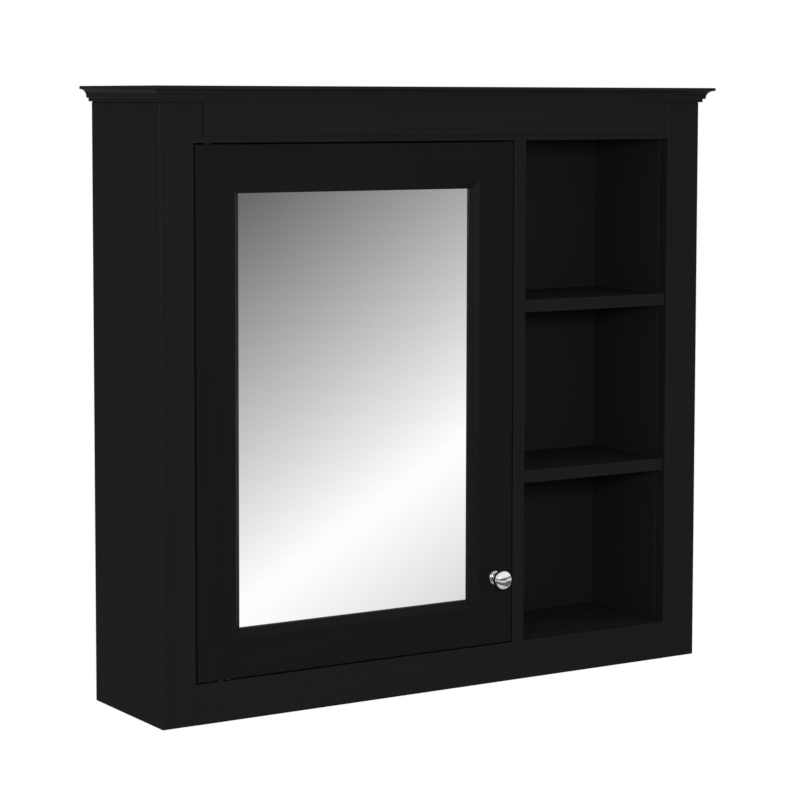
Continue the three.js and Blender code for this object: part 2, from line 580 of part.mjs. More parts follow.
/** The knob's turned outline, (radius, distance out from the door face), with a blind bore behind. */
function knobOutline() {
  const bore = MACHINE_SCREW_RADIUS + MACHINE_CLEARANCE;
  const neck = new THREE.QuadraticBezierCurve(
    new THREE.Vector2(KNOB_FLANGE_RADIUS, KNOB_FLANGE_LENGTH),
    new THREE.Vector2(KNOB_NECK_WAIST_RADIUS, KNOB_NECK_WAIST),
    new THREE.Vector2(KNOB_NECK_RADIUS, KNOB_NECK_END),
  ).getPoints(KNOB_NECK_STEPS);
  const dome = new THREE.EllipseCurve(
    0, KNOB_RIM_END, KNOB_HEAD_RADIUS, KNOB_LENGTH - KNOB_RIM_END, 0, Math.PI / 2, false,
  ).getPoints(KNOB_DOME_STEPS);
  return [
    [0, KNOB_BORE_DEPTH], [bore, KNOB_BORE_DEPTH], [bore, 0], [KNOB_FLANGE_RADIUS, 0],
    ...neck.map((point) => [point.x, point.y]),
    [KNOB_HEAD_RADIUS, KNOB_RIM_START],
    ...dome.slice(0, -1).map((point) => [point.x, point.y]),
    [0, KNOB_LENGTH],
  ];
}

function makeKnob() {
  const face = new THREE.Vector3(knobX, FRONT, knobZ);
  place('knob', turnedSolid(knobOutline(), face, TO_ROOM), chrome, door);
  const back = new THREE.Vector3(knobX, DOOR_BACK, knobZ);
  const length = DOOR_THICKNESS + MACHINE_SCREW_ENGAGE;
  const screw = turnedSolid([
    [0, -MACHINE_HEAD_HEIGHT], [MACHINE_HEAD_FLAT_RADIUS, -MACHINE_HEAD_HEIGHT],
    [MACHINE_HEAD_RADIUS, -MACHINE_HEAD_RIM], [MACHINE_HEAD_RADIUS, 0],
    [MACHINE_SCREW_RADIUS, 0], [MACHINE_SCREW_RADIUS, length], [0, length],
  ], back, TO_ROOM, SMALL_ROUND_SIDES);
  place('knob_screw', screw, steel, door);
}

function makeStrike() {
  const x = DIVIDER_LEFT - CATCH_WIDTH / 2;
  const centre = Math.min(x, DOOR_RIGHT - STRIKE_WIDTH / 2 - STRIKE_EDGE_MARGIN);
  const head = new THREE.Vector3(centre, DOOR_BACK + STRIKE_THICKNESS, catchZ);
  const hole = screwHole(head, TO_ROOM, STRIKE_SCREW_LENGTH);
  board('strike_plate', [centre - STRIKE_WIDTH / 2, centre + STRIKE_WIDTH / 2],
    [DOOR_BACK, DOOR_BACK + STRIKE_THICKNESS], [catchZ - STRIKE_HEIGHT / 2, catchZ + STRIKE_HEIGHT / 2],
    steel, [hole], door);
  woodScrew('strike_screw', head, TO_ROOM, door, STRIKE_SCREW_LENGTH);
  return hole;
}

function makeDoor() {
  const knobHole = drill(new THREE.Vector3(knobX, DOOR_BACK, knobZ), TO_ROOM,
    MACHINE_SCREW_RADIUS + MACHINE_CLEARANCE, DOOR_THICKNESS + MACHINE_BORE_EXTRA);
  const strikeHole = makeStrike();
  const hingeStile = hinges.flatMap((hinge) => hinge.doorLeaf.pocket)
    .reduce((rest, cut) => rest.subtract(cut), doorStile(DOOR_LEFT, 1));
  place('door_stile_left', hingeStile, lacquer, door);
  place('door_stile_right', doorStile(DOOR_RIGHT, -1).subtract(knobHole).subtract(strikeHole), lacquer, door);
  place('door_rail_top', doorRail(DOOR_TOP, -1), lacquer, door);
  place('door_rail_bottom', doorRail(DOOR_BOTTOM, 1), lacquer, door);
  const glassMarginX = DOOR_STILE_WIDTH + SLOPE_WIDTH - REBATE_WIDTH + GLASS_CLEARANCE;
  const glassMarginZ = DOOR_RAIL_WIDTH + SLOPE_WIDTH - REBATE_WIDTH + GLASS_CLEARANCE;
  const glassXs = [DOOR_LEFT + glassMarginX, DOOR_RIGHT - glassMarginX];
  const glassZs = [DOOR_BOTTOM + glassMarginZ, DOOR_TOP - glassMarginZ];
  const glassBack = FRONT + SIGHT_DEPTH + MIRROR_THICKNESS;
  board('mirror_pane', glassXs, [FRONT + SIGHT_DEPTH, glassBack], glassZs, silvering, [], door);
  board('mirror_backing', glassXs, [glassBack, DOOR_BACK], glassZs, backBoard, [], door);
  makeKnob();
}

makeCase();
makeBayShelves();
makeShelves();
makeCatch();
makeDoor();
hinges.forEach(placeHinge);

export default cabinet;
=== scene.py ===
"""Looks of a wall-hung medicine cabinet: black lacquered boards, one inset mirror door and three open bays.

Every length is in metres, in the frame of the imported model: +Z up, +X to the right of a person facing the
front, the wall at Y = 0 and the front towards -Y. Boards are rounded boxes on a grid, mouldings and door
members are sections carried along a path, and round pieces are profiles turned about an axis.
"""
from __future__ import annotations

import json
import logging
import math
from dataclasses import dataclass, field
from enum import Enum
from typing import Sequence

import bpy
import numpy as np
from mathutils import Matrix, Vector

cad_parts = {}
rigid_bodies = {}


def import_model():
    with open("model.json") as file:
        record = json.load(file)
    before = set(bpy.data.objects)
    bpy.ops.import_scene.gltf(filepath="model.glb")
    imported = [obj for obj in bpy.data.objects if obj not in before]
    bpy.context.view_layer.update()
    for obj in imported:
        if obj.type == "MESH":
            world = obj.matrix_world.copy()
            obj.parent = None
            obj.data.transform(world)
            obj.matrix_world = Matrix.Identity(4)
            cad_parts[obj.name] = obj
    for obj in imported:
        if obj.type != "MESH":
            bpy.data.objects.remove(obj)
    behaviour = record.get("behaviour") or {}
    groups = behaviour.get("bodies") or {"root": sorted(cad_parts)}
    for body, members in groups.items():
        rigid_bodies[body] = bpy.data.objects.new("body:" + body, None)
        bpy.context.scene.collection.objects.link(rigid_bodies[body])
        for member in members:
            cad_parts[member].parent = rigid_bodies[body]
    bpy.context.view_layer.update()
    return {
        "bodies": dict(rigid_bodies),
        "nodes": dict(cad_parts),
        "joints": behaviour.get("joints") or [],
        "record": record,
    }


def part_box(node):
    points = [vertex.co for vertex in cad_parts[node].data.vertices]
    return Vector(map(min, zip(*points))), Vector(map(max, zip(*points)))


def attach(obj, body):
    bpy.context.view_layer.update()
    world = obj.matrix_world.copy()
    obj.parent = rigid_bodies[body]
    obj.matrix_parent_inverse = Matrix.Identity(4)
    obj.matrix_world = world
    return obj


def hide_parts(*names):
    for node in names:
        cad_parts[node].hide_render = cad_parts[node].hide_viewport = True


Numbers = Sequence[float]
Rgb = tuple[float, float, float]
Span = tuple[float, float]

LOG = logging.getLogger("cabinet")
MM = 0.001
WELD_DECIMALS = 7
LARGEST_RADIUS = 0.49
LONGEST_EASE = 0.45
# The per-vertex edge mask places the edge colour: a painted highlight along the lacquers' arrises, wear on
# the metals.
EDGE_ATTRIBUTE = "edge"
CABINET = "cabinet"
DOOR = "door"


class Grain(Enum):
    """The way the brush marks and the faint grain of a board run."""

    UPRIGHT = "upright"
    LEVEL = "level"


class Axis(Enum):
    """A direction that a turned piece or a bore points in."""

    LEFT = (-1.0, 0.0, 0.0)
    RIGHT = (1.0, 0.0, 0.0)
    ROOM = (0.0, -1.0, 0.0)
    WALL = (0.0, 1.0, 0.0)
    UP = (0.0, 0.0, 1.0)
    DOWN = (0.0, 0.0, -1.0)


# ---------------------------------------------------------------- surfaces


@dataclass
class Surface:
    """Triangles on shared vertices, each with an edge mask and, where it is known, a unit normal."""

    points: np.ndarray
    triangles: np.ndarray
    edge: np.ndarray
    normals: np.ndarray | None = None


def grid_triangles(rows: int, columns: int, wrap_rows: bool = False,
                   wrap_columns: bool = False) -> np.ndarray:
    """The triangles of a grid of vertices numbered row by row.

    Args:
        rows: How many rows of vertices there are.
        columns: How many vertices a row has.
        wrap_rows: Whether the last row joins the first.
        wrap_columns: Whether a row's last vertex joins its first.

    Returns:
        An array of vertex triples, two for each cell, turned from row to column.
    """
    i, j = np.meshgrid(
        np.arange(rows if wrap_rows else rows - 1),
        np.arange(columns if wrap_columns else columns - 1),
        indexing="ij",
    )
    i, j = i.ravel(), j.ravel()
    k, m = (i + 1) % rows, (j + 1) % columns
    a, b, c, d = i * columns + j, k * columns + j, k * columns + m, i * columns + m
    return np.concatenate([np.stack([a, b, c], 1), np.stack([a, c, d], 1)])


def welded(surface: Surface) -> Surface:
    """Joins vertices that share a place and drops the triangles that this leaves with no area.

    Args:
        surface: A surface whose patches meet point for point.

    Returns:
        The same surface on shared vertices.
    """
    _, first, place = np.unique(
        surface.points.round(WELD_DECIMALS), axis=0, return_index=True, return_inverse=True
    )
    triangles = place.ravel()[surface.triangles]
    a, b, c = triangles.T
    whole = (a != b) & (b != c) & (c != a)
    normals = None if surface.normals is None else surface.normals[first]
    return Surface(surface.points[first], triangles[whole], surface.edge[first], normals)


def joined(parts: Sequence[Surface]) -> Surface:
    """Several surfaces as one, with no vertices shared between them.

    Args:
        parts: The surfaces to put together.

    Returns:
        One surface. It keeps normals only when every part has them.
    """
    offsets = np.cumsum([0] + [len(part.points) for part in parts[:-1]])
    triangles = [part.triangles + offset for part, offset in zip(parts, offsets)]
    whole = all(part.normals is not None for part in parts)
    return Surface(
        np.concatenate([part.points for part in parts]),
        np.concatenate(triangles),
        np.concatenate([part.edge for part in parts]),
        np.concatenate([part.normals for part in parts]) if whole else None,
    )


def rounded_box(low: Numbers, high: Numbers, radius: float, steps: int = 3) -> Surface:
    """A box with rounded edges and corners.

    A point of each face is the nearest point of the box shrunk by the radius, plus the radius times a unit
    normal. The normal's slopes are the tangents of two angles, which run from -45 to 0 degrees over the
    first rounding, stay 0 over the flat, and run on to 45 degrees over the second rounding.

    Args:
        low: The box's lowest corner.
        high: The box's highest corner.
        radius: The radius of its edges, limited to just under half its thickness.
        steps: How many steps each half rounding has.

    Returns:
        The closed surface, with normals, and an edge mask of 1 along the middle of each rounding.
    """
    low, high = np.asarray(low, float), np.asarray(high, float)
    radius = min(radius, LARGEST_RADIUS * float((high - low).min()))
    half = np.linspace(-math.pi / 4, 0, steps + 1)
    slopes = np.tan(np.concatenate([half, -half[::-1]]))
    at_high = np.concatenate([np.zeros(steps + 1), np.ones(steps + 1)])
    inner_low, inner_high = low + radius, high - radius
    patches = []
    for axis in range(3):
        across, along = (axis + 1) % 3, (axis + 2) % 3
        for sign in (-1.0, 1.0):
            u, v = np.meshgrid(np.arange(len(slopes)), np.arange(len(slopes)), indexing="ij")
            u, v = u.ravel(), v.ravel()
            normals = np.empty((len(u), 3))
            normals[:, axis], normals[:, across], normals[:, along] = sign, slopes[u], slopes[v]
            normals /= np.linalg.norm(normals, axis=1, keepdims=True)
            inner = np.empty((len(u), 3))
            inner[:, axis] = inner_high[axis] if sign > 0 else inner_low[axis]
            inner[:, across] = np.where(at_high[u] > 0, inner_high[across], inner_low[across])
            inner[:, along] = np.where(at_high[v] > 0, inner_high[along], inner_low[along])
            triangles = grid_triangles(len(slopes), len(slopes))
            edge = (1 - np.abs(normals).max(1)) / (1 - math.sqrt(0.5))
            patches.append(
                Surface(
                    inner + radius * normals,
                    triangles if sign > 0 else triangles[:, ::-1],
                    np.clip(edge, 0, 1),
                    normals,
                )
            )
    return welded(joined(patches))


def frame_of(direction: Numbers) -> np.ndarray:
    """A right-handed frame of unit rows, two across a direction and the direction itself."""
    along = np.asarray(direction, float)
    helper = np.array([0.0, 0.0, 1.0]) if abs(along[2]) < 0.9 else np.array([1.0, 0.0, 0.0])
    across = np.cross(helper, along)
    across /= np.linalg.norm(across)
    return np.stack([across, np.cross(along, across), along])


def turned(profile: np.ndarray, origin: Numbers, direction: Numbers, segments: int = 48) -> Surface:
    """A profile turned about an axis.

    The point at angle t and profile entry (r, d) is origin + r cos t across + r sin t up + d along. A
    profile that starts and ends on the axis closes the surface; one that doesn't closes on itself.

    Args:
        profile: (radius, distance along) pairs in order, so that the outside is to the right of the way.
        origin: The point that distances are measured from.
        direction: The axis.
        segments: How many steps go round.

    Returns:
        The closed surface.
    """
    profile = np.asarray(profile, float)
    frame = frame_of(direction)
    closed = profile[0, 0] > 0
    angles = np.linspace(0, 2 * math.pi, segments, endpoint=False)
    radius, distance = profile[:, 0][:, None], profile[:, 1][:, None]
    local = np.stack(
        [radius * np.cos(angles), radius * np.sin(angles), distance + np.zeros_like(angles)], -1
    ).reshape(-1, 3)
    points = np.asarray(origin, float) + local @ frame
    triangles = grid_triangles(len(profile), segments, wrap_rows=closed, wrap_columns=True)[:, ::-1]
    return welded(Surface(points, triangles, np.zeros(len(points))))


def arc(centre: Numbers, radii: Numbers, start: float, stop: float, steps: int) -> np.ndarray:
    """Points on an ellipse from one angle to another, in degrees: centre + (rx cos t, ry sin t)."""
    angles = np.radians(np.linspace(start, stop, steps + 1))
    return np.stack([centre[0] + radii[0] * np.cos(angles), centre[1] + radii[1] * np.sin(angles)], 1)


def outward(surface: Surface) -> Surface:
    """The surface with its triangles turned so that they enclose a positive volume."""
    a, b, c = (surface.points[surface.triangles[:, k]] for k in range(3))
    if float(np.einsum("ij,ij->i", a, np.cross(b, c)).sum()) < 0:
        surface.triangles = surface.triangles[:, ::-1]
    return surface


def bend(start: np.ndarray, pull: np.ndarray, stop: np.ndarray, t: np.ndarray) -> np.ndarray:
    """Points at t on the quadratic curve from start to stop: (1-t)^2 start + 2 t (1-t) pull + t^2 stop."""
    return (1 - t) ** 2 * start + 2 * t * (1 - t) * pull + t**2 * stop


def eased(outline: Sequence[Numbers], radius: float, steps: int = 3) -> tuple[np.ndarray, np.ndarray]:
    """A closed outline with each corner replaced by a curve.

    A corner's curve is a quadratic one, pulled towards the corner, between the points that lie one radius
    from the corner along its two sides, or less where a side is short.

    Args:
        outline: The corners in order.
        radius: How far from a corner its curve starts.
        steps: How many steps each curve has.

    Returns:
        The points, and an edge mask that is 1 at the middle of each curve.
    """
    corners = np.asarray(outline, float)
    before, after = np.roll(corners, 1, 0) - corners, np.roll(corners, -1, 0) - corners
    size_before = np.linalg.norm(before, axis=1, keepdims=True)
    size_after = np.linalg.norm(after, axis=1, keepdims=True)
    start = corners + before / size_before * np.minimum(radius, LONGEST_EASE * size_before)
    stop = corners + after / size_after * np.minimum(radius, LONGEST_EASE * size_after)
    t = np.linspace(0, 1, steps + 1)[None, :, None]
    curve = bend(start[:, None], corners[:, None], stop[:, None], t)
    mask = np.tile(1 - np.abs(2 * t[0, :, 0] - 1), (len(corners), 1))
    return curve.reshape(-1, 2), mask.ravel()


def capped_sweep(edge: np.ndarray, stations: np.ndarray) -> Surface:
    """A closed section carried through stations, with a fan over each end.

    Args:
        edge: The edge mask of each section point.
        stations: Array of (station, section point, xyz), each row the section in place.

    Returns:
        The closed surface, its triangles turned so that its volume is positive.
    """
    count, size = stations.shape[:2]
    points = stations.reshape(-1, 3)
    sides = grid_triangles(count, size, wrap_columns=True)
    centres = stations[[0, -1]].mean(1)
    index = np.arange(size)
    following = (index + 1) % size
    first = np.stack([np.full(size, count * size), index, following], 1)
    last_row = (count - 1) * size
    last = np.stack([np.full(size, count * size + 1), last_row + following, last_row + index], 1)
    masks = np.concatenate([np.tile(edge, count), [0.0, 0.0]])
    return outward(Surface(np.concatenate([points, centres]), np.concatenate([sides, first, last]), masks))


# ---------------------------------------------------------------- shader groups and finishes


class Graph:
    """Adds nodes to one material or group and joins their sockets."""

    def __init__(self, tree: bpy.types.NodeTree) -> None:
        """Starts on an emptied tree."""
        self.tree = tree
        tree.nodes.clear()

    def add(self, kind: str, settings: dict | None = None, **sockets: object) -> bpy.types.Node:
        """Adds a node.

        Args:
            kind: The node's Blender type.
            settings: Properties of the node itself, by name.
            **sockets: What each input gets, by its name with spaces as underscores: a value, or an output
                socket to link from.

        Returns:
            The new node.
        """
        node = self.tree.nodes.new(kind)
        for name, value in (settings or {}).items():
            setattr(node, name, value)
        for name, value in sockets.items():
            self.feed(node.inputs[name.replace("_", " ")], value)
        return node

    def feed(self, socket: bpy.types.NodeSocket, value: object) -> None:
        """Links an output into an input, or sets the input's own value."""
        if isinstance(value, bpy.types.NodeSocket):
            self.tree.links.new(value, socket)
        else:
            socket.default_value = value

    def maths(self, operation: str, *values: object) -> bpy.types.NodeSocket:
        """One Math node on up to three values or sockets, and its result."""
        node = self.add("ShaderNodeMath", {"operation": operation})
        for socket, value in zip(node.inputs, values):
            self.feed(socket, value)
        return node.outputs[0]

    def blend(self, share: object, first: object, second: object) -> bpy.types.NodeSocket:
        """A value that goes from the first to the second as the share goes from 0 to 1."""
        return self.maths("MULTIPLY_ADD", share, self.maths("SUBTRACT", second, first), first)

    def ramp(self, value: object, span: Span, result: Span) -> bpy.types.NodeSocket:
        """A smooth step over a span of a value, from one result to another."""
        node = self.add("ShaderNodeMapRange", {"interpolation_type": "SMOOTHSTEP"}, Value=value,
                        From_Min=span[0], From_Max=span[1], To_Min=result[0], To_Max=result[1])
        return node.outputs[0]

    def group(self, tree: bpy.types.NodeTree, **sockets: object) -> bpy.types.Node:
        """Places a node group with its own values."""
        return self.add("ShaderNodeGroup", {"node_tree": tree}, **sockets)


def new_group(name: str, inputs: dict[str, str], outputs: dict[str, str]) -> tuple[Graph, dict, dict]:
    """An empty shader group with named sockets.

    Args:
        name: The group's name.
        inputs: Socket types by input name.
        outputs: Socket types by output name.

    Returns:
        The group's graph, its input sockets by name, and the sockets that its results go into.
    """
    tree = bpy.data.node_groups.new(name, "ShaderNodeTree")
    for way, sockets in (("INPUT", inputs), ("OUTPUT", outputs)):
        for socket_name, kind in sockets.items():
            tree.interface.new_socket(socket_name, in_out=way, socket_type=kind)
    graph = Graph(tree)
    entry, leave = graph.add("NodeGroupInput"), graph.add("NodeGroupOutput")
    return graph, {n: entry.outputs[n] for n in inputs}, {n: leave.inputs[n] for n in outputs}


NUMBER, COLOUR, VECTOR = "NodeSocketFloat", "NodeSocketColor", "NodeSocketVector"


def relief_group() -> bpy.types.NodeTree:
    """Surface relief: long streaks drawn out along one way, under a fine orange peel."""
    graph, given, result = new_group(
        "surface_relief",
        {"Vector": VECTOR, "Stretch": VECTOR, "Streak Scale": NUMBER, "Peel Scale": NUMBER},
        {"Height": NUMBER, "Streaks": NUMBER},
    )
    drawn = graph.add("ShaderNodeVectorMath", {"operation": "MULTIPLY"})
    graph.feed(drawn.inputs[0], given["Vector"])
    graph.feed(drawn.inputs[1], given["Stretch"])
    streaks = graph.add("ShaderNodeTexNoise", Vector=drawn.outputs[0], Scale=given["Streak Scale"],
                        Detail=5.0)
    peel = graph.add("ShaderNodeTexNoise", Vector=given["Vector"], Scale=given["Peel Scale"], Detail=2.0)
    graph.feed(result["Height"], graph.maths("ADD", streaks.outputs[0], peel.outputs[0]))
    graph.feed(result["Streaks"], streaks.outputs[0])
    return graph.tree


def haze_group() -> bpy.types.NodeTree:
    """A value that drifts between two limits over the surface, as finger haze and polish do."""
    graph, given, result = new_group(
        "surface_haze",
        {"Vector": VECTOR, "Scale": NUMBER, "Low": NUMBER, "High": NUMBER},
        {"Value": NUMBER},
    )
    cloud = graph.add("ShaderNodeTexNoise", Vector=given["Vector"], Scale=given["Scale"], Detail=4.0)
    limits = graph.add("ShaderNodeMapRange", {"clamp": True}, Value=cloud.outputs[0],
                       From_Min=0.3, From_Max=0.7, To_Min=given["Low"], To_Max=given["High"])
    graph.feed(result["Value"], limits.outputs[0])
    return graph.tree


def wear_group() -> bpy.types.NodeTree:
    """Edge colour: the edge mask, broken up by noise, shows a second colour, which is a painted highlight
    along the lacquers' arrises and rubbed wear on the metals and the mirror's edge.
    """
    graph, given, result = new_group(
        "edge_wear",
        {"Vector": VECTOR, "Color": COLOUR, "Worn Color": COLOUR, "Edge": NUMBER, "Amount": NUMBER},
        {"Color": COLOUR},
    )
    breaks = graph.add("ShaderNodeTexNoise", Vector=given["Vector"], Scale=90.0, Detail=3.0)
    broken = graph.maths("MULTIPLY_ADD", breaks.outputs[0], 0.8, 0.35)
    mask = graph.maths("MULTIPLY", graph.maths("MULTIPLY", given["Edge"], broken), given["Amount"])
    mixed = graph.add("ShaderNodeMix", {"data_type": "RGBA"})
    for socket, value in zip((mixed.inputs[0], mixed.inputs[6], mixed.inputs[7]),
                             (mask, given["Color"], given["Worn Color"])):
        graph.feed(socket, value)
    graph.feed(result["Color"], mixed.outputs[2])
    return graph.tree


def shared_group(name: str) -> bpy.types.NodeTree:
    """The shader group of that name, built the first time it is asked for."""
    makers = {"surface_relief": relief_group, "surface_haze": haze_group, "edge_wear": wear_group}
    return bpy.data.node_groups.get(name) or makers[name]()


def rgba(colour: Rgb) -> tuple[float, float, float, float]:
    """A colour with full alpha."""
    return (*colour, 1.0)


@dataclass(frozen=True)
class Finish:
    """What every finish has: a shader whose relief, haze and edge colour (a painted highlight on lacquer,
    wear on metal) come from the shared groups.
    """

    name: str
    colour: Rgb
    wear_and_highlight_colour: Rgb
    roughness: tuple[float, float]
    metallic: float = 0.0
    specular: float = 0.5
    stretch: Rgb = (1.0, 1.0, 1.0)
    streak_scale: float = 120.0
    peel_scale: float = 900.0
    tone: float = 0.0
    relief: float = 0.05
    relief_depth: float = 0.0001
    wear: float = 0.6
    haze_scale: float = 9.0

    def build(self) -> bpy.types.Material:
        """Makes the material.

        Returns:
            A material whose colour, roughness and normal vary over the surface by Object coordinates.
        """
        material = bpy.data.materials.new(self.name)
        material.use_nodes = True
        material.diffuse_color = rgba(self.colour)
        graph = Graph(material.node_tree)
        place = graph.add("ShaderNodeTexCoord").outputs["Object"]
        edge = graph.add("ShaderNodeAttribute", {"attribute_name": EDGE_ATTRIBUTE}).outputs["Fac"]
        relief = graph.group(shared_group("surface_relief"), Vector=place, Stretch=self.stretch,
                             Streak_Scale=self.streak_scale, Peel_Scale=self.peel_scale)
        haze = graph.group(shared_group("surface_haze"), Vector=place, Scale=self.haze_scale,
                           Low=self.roughness[0], High=self.roughness[1])
        toned = graph.add("ShaderNodeHueSaturation", Color=rgba(self.colour))
        centred = graph.maths("SUBTRACT", relief.outputs["Streaks"], 0.5)
        graph.feed(toned.inputs["Value"], graph.maths("MULTIPLY_ADD", centred, self.tone, 1.0))
        # Edge colour by the edge mask: a painted highlight on the lacquers, wear on the metals and the
        # mirror's edge.
        wear_and_highlight_colour = graph.group(shared_group("edge_wear"), Vector=place, Color=toned.outputs[0],
                           Worn_Color=rgba(self.wear_and_highlight_colour), Edge=edge, Amount=self.wear)
        bump = graph.add("ShaderNodeBump", Strength=self.relief, Distance=self.relief_depth,
                         Height=relief.outputs["Height"])
        shader = graph.add("ShaderNodeBsdfPrincipled", Base_Color=wear_and_highlight_colour.outputs["Color"],
                           Roughness=haze.outputs["Value"], Normal=bump.outputs[0],
                           Metallic=self.metallic, Specular_IOR_Level=self.specular)
        graph.add("ShaderNodeOutputMaterial", Surface=shader.outputs[0])
        return material


# The lacquers' edge colour is their own colour made brighter by this gain and base: a painted highlight along
# the arrises.
HIGHLIGHT_GAIN, HIGHLIGHT_BASE = 2.2, 0.004
GRAIN_STRETCH = {Grain.UPRIGHT: (1.0, 1.0, 0.035), Grain.LEVEL: (0.035, 1.0, 1.0)}


def lacquer(name: str, grain: Grain, colour: Rgb, specular: float = 0.035, **changes: object) -> Finish:
    """Satin black lacquer on board, brushed along the grain, with a painted highlight along its arrises.

    Args:
        name: The material's name.
        grain: Which way the brush marks run.
        colour: The lacquer's own colour.
        specular: How much it reflects head on.
        **changes: Any other value of the finish.

    Returns:
        The finish.
    """
    values: dict = {
        "wear_and_highlight_colour": tuple(HIGHLIGHT_GAIN * channel + HIGHLIGHT_BASE for channel in colour),
        "roughness": (0.34, 0.44),
        "stretch": GRAIN_STRETCH[grain],
        "streak_scale": 160.0,
        "peel_scale": 1100.0,
        "tone": 0.35,
        "relief": 0.12,
        "wear": 0.4,
    }
    values.update(changes)
    return Finish(name=name, colour=colour, specular=specular, **values)


class Palette:
    """The cabinet's materials, each made once and found by name."""

    FINISHES = (
        # On the lacquers the edge amount sets the strength of the painted arris highlight, which is weaker on
        # the door.
        lacquer("lacquer_upright", Grain.UPRIGHT, (0.0115, 0.0115, 0.0116)),
        lacquer("lacquer_level", Grain.LEVEL, (0.0118, 0.0118, 0.0119)),
        lacquer("lacquer_door_upright", Grain.UPRIGHT, (0.0084, 0.0084, 0.0085), wear=0.1),
        lacquer("lacquer_door_level", Grain.LEVEL, (0.0086, 0.0086, 0.0087), wear=0.1),
        # The interior lacquer is the same black made lighter so that the shaded bays read brighter: painted
        # light.
        lacquer("lacquer_inner_brightened", Grain.LEVEL, (0.0135, 0.0135, 0.0135), roughness=(0.3, 0.4)),
        Finish(
            "hardboard", (0.0118, 0.0117, 0.0116), (0.022, 0.0215, 0.021), (0.5, 0.65),
            specular=0.05, streak_scale=420.0, peel_scale=1600.0, tone=0.5, relief=0.35,
            relief_depth=0.00015,
        ),
        Finish(
            "silvered_glass", (0.985, 0.987, 0.986), (0.55, 0.6, 0.58), (0.0, 0.012),
            metallic=1.0, streak_scale=3.0, peel_scale=4.0, tone=0.004, relief=0.0, wear=0.5,
            haze_scale=14.0,
        ),
        Finish(
            "polished_chrome", (0.80, 0.81, 0.83), (0.86, 0.86, 0.87), (0.035, 0.075),
            metallic=1.0, streak_scale=200.0, peel_scale=900.0, tone=0.03, relief=0.02, relief_depth=0.00004,
            haze_scale=160.0,
        ),
        Finish(
            "zinc_steel", (0.50, 0.51, 0.53), (0.68, 0.68, 0.69), (0.26, 0.42),
            metallic=1.0, stretch=(1.0, 1.0, 0.1), streak_scale=700.0, peel_scale=1500.0, tone=0.25,
            relief=0.2, relief_depth=0.00004, haze_scale=120.0,
        ),
        Finish(
            "blackened_steel", (0.014, 0.014, 0.015), (0.03, 0.03, 0.032), (0.45, 0.58),
            specular=0.08, streak_scale=600.0, tone=0.2, relief=0.15, relief_depth=0.00003, haze_scale=150.0,
        ),
        Finish(
            "moulded_plastic", (0.014, 0.014, 0.015), (0.03, 0.03, 0.031), (0.38, 0.52),
            specular=0.4, streak_scale=300.0, peel_scale=2200.0, tone=0.1, relief=0.3, relief_depth=0.00005,
            haze_scale=80.0,
        ),
    )

    def __init__(self) -> None:
        """Builds every material."""
        self.materials = {finish.name: finish.build() for finish in self.FINISHES}

    def __getitem__(self, name: str) -> bpy.types.Material:
        """The material of that name."""
        return self.materials[name]


# ---------------------------------------------------------------- pieces


@dataclass
class Piece:
    """One visible piece: its surface, finish, body and what it stands for."""

    name: str
    surface: Surface
    finish: str
    slot: str
    body: str = CABINET
    replaces: tuple[str, ...] = ()
    crease: float = 35.0
    even: bool = False
    cuts: list[Surface] = field(default_factory=list)

    def mesh(self, surface: Surface, suffix: str = "") -> bpy.types.Mesh:
        """A Blender mesh from a surface, smooth but for creases sharper than the piece's angle."""
        mesh = bpy.data.meshes.new(self.name + suffix)
        mesh.from_pydata(surface.points.tolist(), [], surface.triangles.tolist())
        mesh.shade_smooth()
        attribute = mesh.attributes.new(EDGE_ATTRIBUTE, "FLOAT", "POINT")
        attribute.data.foreach_set("value", surface.edge.astype(np.float32))
        return mesh

    def cut(self, item: bpy.types.Object) -> None:
        """Takes the piece's cuts out of it with one exact boolean, applied to the mesh."""
        cutter = bpy.data.objects.new(self.name + "_cutter", self.mesh(joined(self.cuts), "_cutter"))
        bpy.context.scene.collection.objects.link(cutter)
        step = item.modifiers.new("cuts", "BOOLEAN")
        step.operation, step.solver, step.object = "DIFFERENCE", "EXACT", cutter
        step.use_self = False
        graph = bpy.context.evaluated_depsgraph_get()
        result = bpy.data.meshes.new_from_object(item.evaluated_get(graph))
        item.modifiers.clear()
        old, item.data = item.data, result
        bpy.data.meshes.remove(old)
        bpy.data.objects.remove(cutter)

    def build(self, palette: Palette) -> bpy.types.Object:
        """Makes the object, dresses it and puts it on its body.

        Args:
            palette: Where the piece's material comes from.

        Returns:
            The object, at the origin, with its place in its mesh.
        """
        item = bpy.data.objects.new(self.name, self.mesh(self.surface))
        bpy.context.scene.collection.objects.link(item)
        if self.cuts:
            self.cut(item)
        item.data.materials.clear()
        item.data.materials.append(palette[self.finish])
        if self.surface.normals is not None and not self.cuts:
            item.data.normals_split_custom_set_from_vertices(self.surface.normals.tolist())
        else:
            item.data.set_sharp_from_angle(angle=math.radians(self.crease))
        if self.even or self.cuts:
            weighted = item.modifiers.new("even_faces", "WEIGHTED_NORMAL")
            weighted.keep_sharp = True
        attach(item, self.body)
        if self.replaces:
            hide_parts(*self.replaces)
        LOG.info("piece %s on %s, %d triangles", self.name, self.body, len(item.data.polygons))
        return item


def corners(node: str) -> tuple[np.ndarray, np.ndarray]:
    """The lowest and highest corner of a node of the frame."""
    low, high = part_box(node)
    return np.array(low), np.array(high)


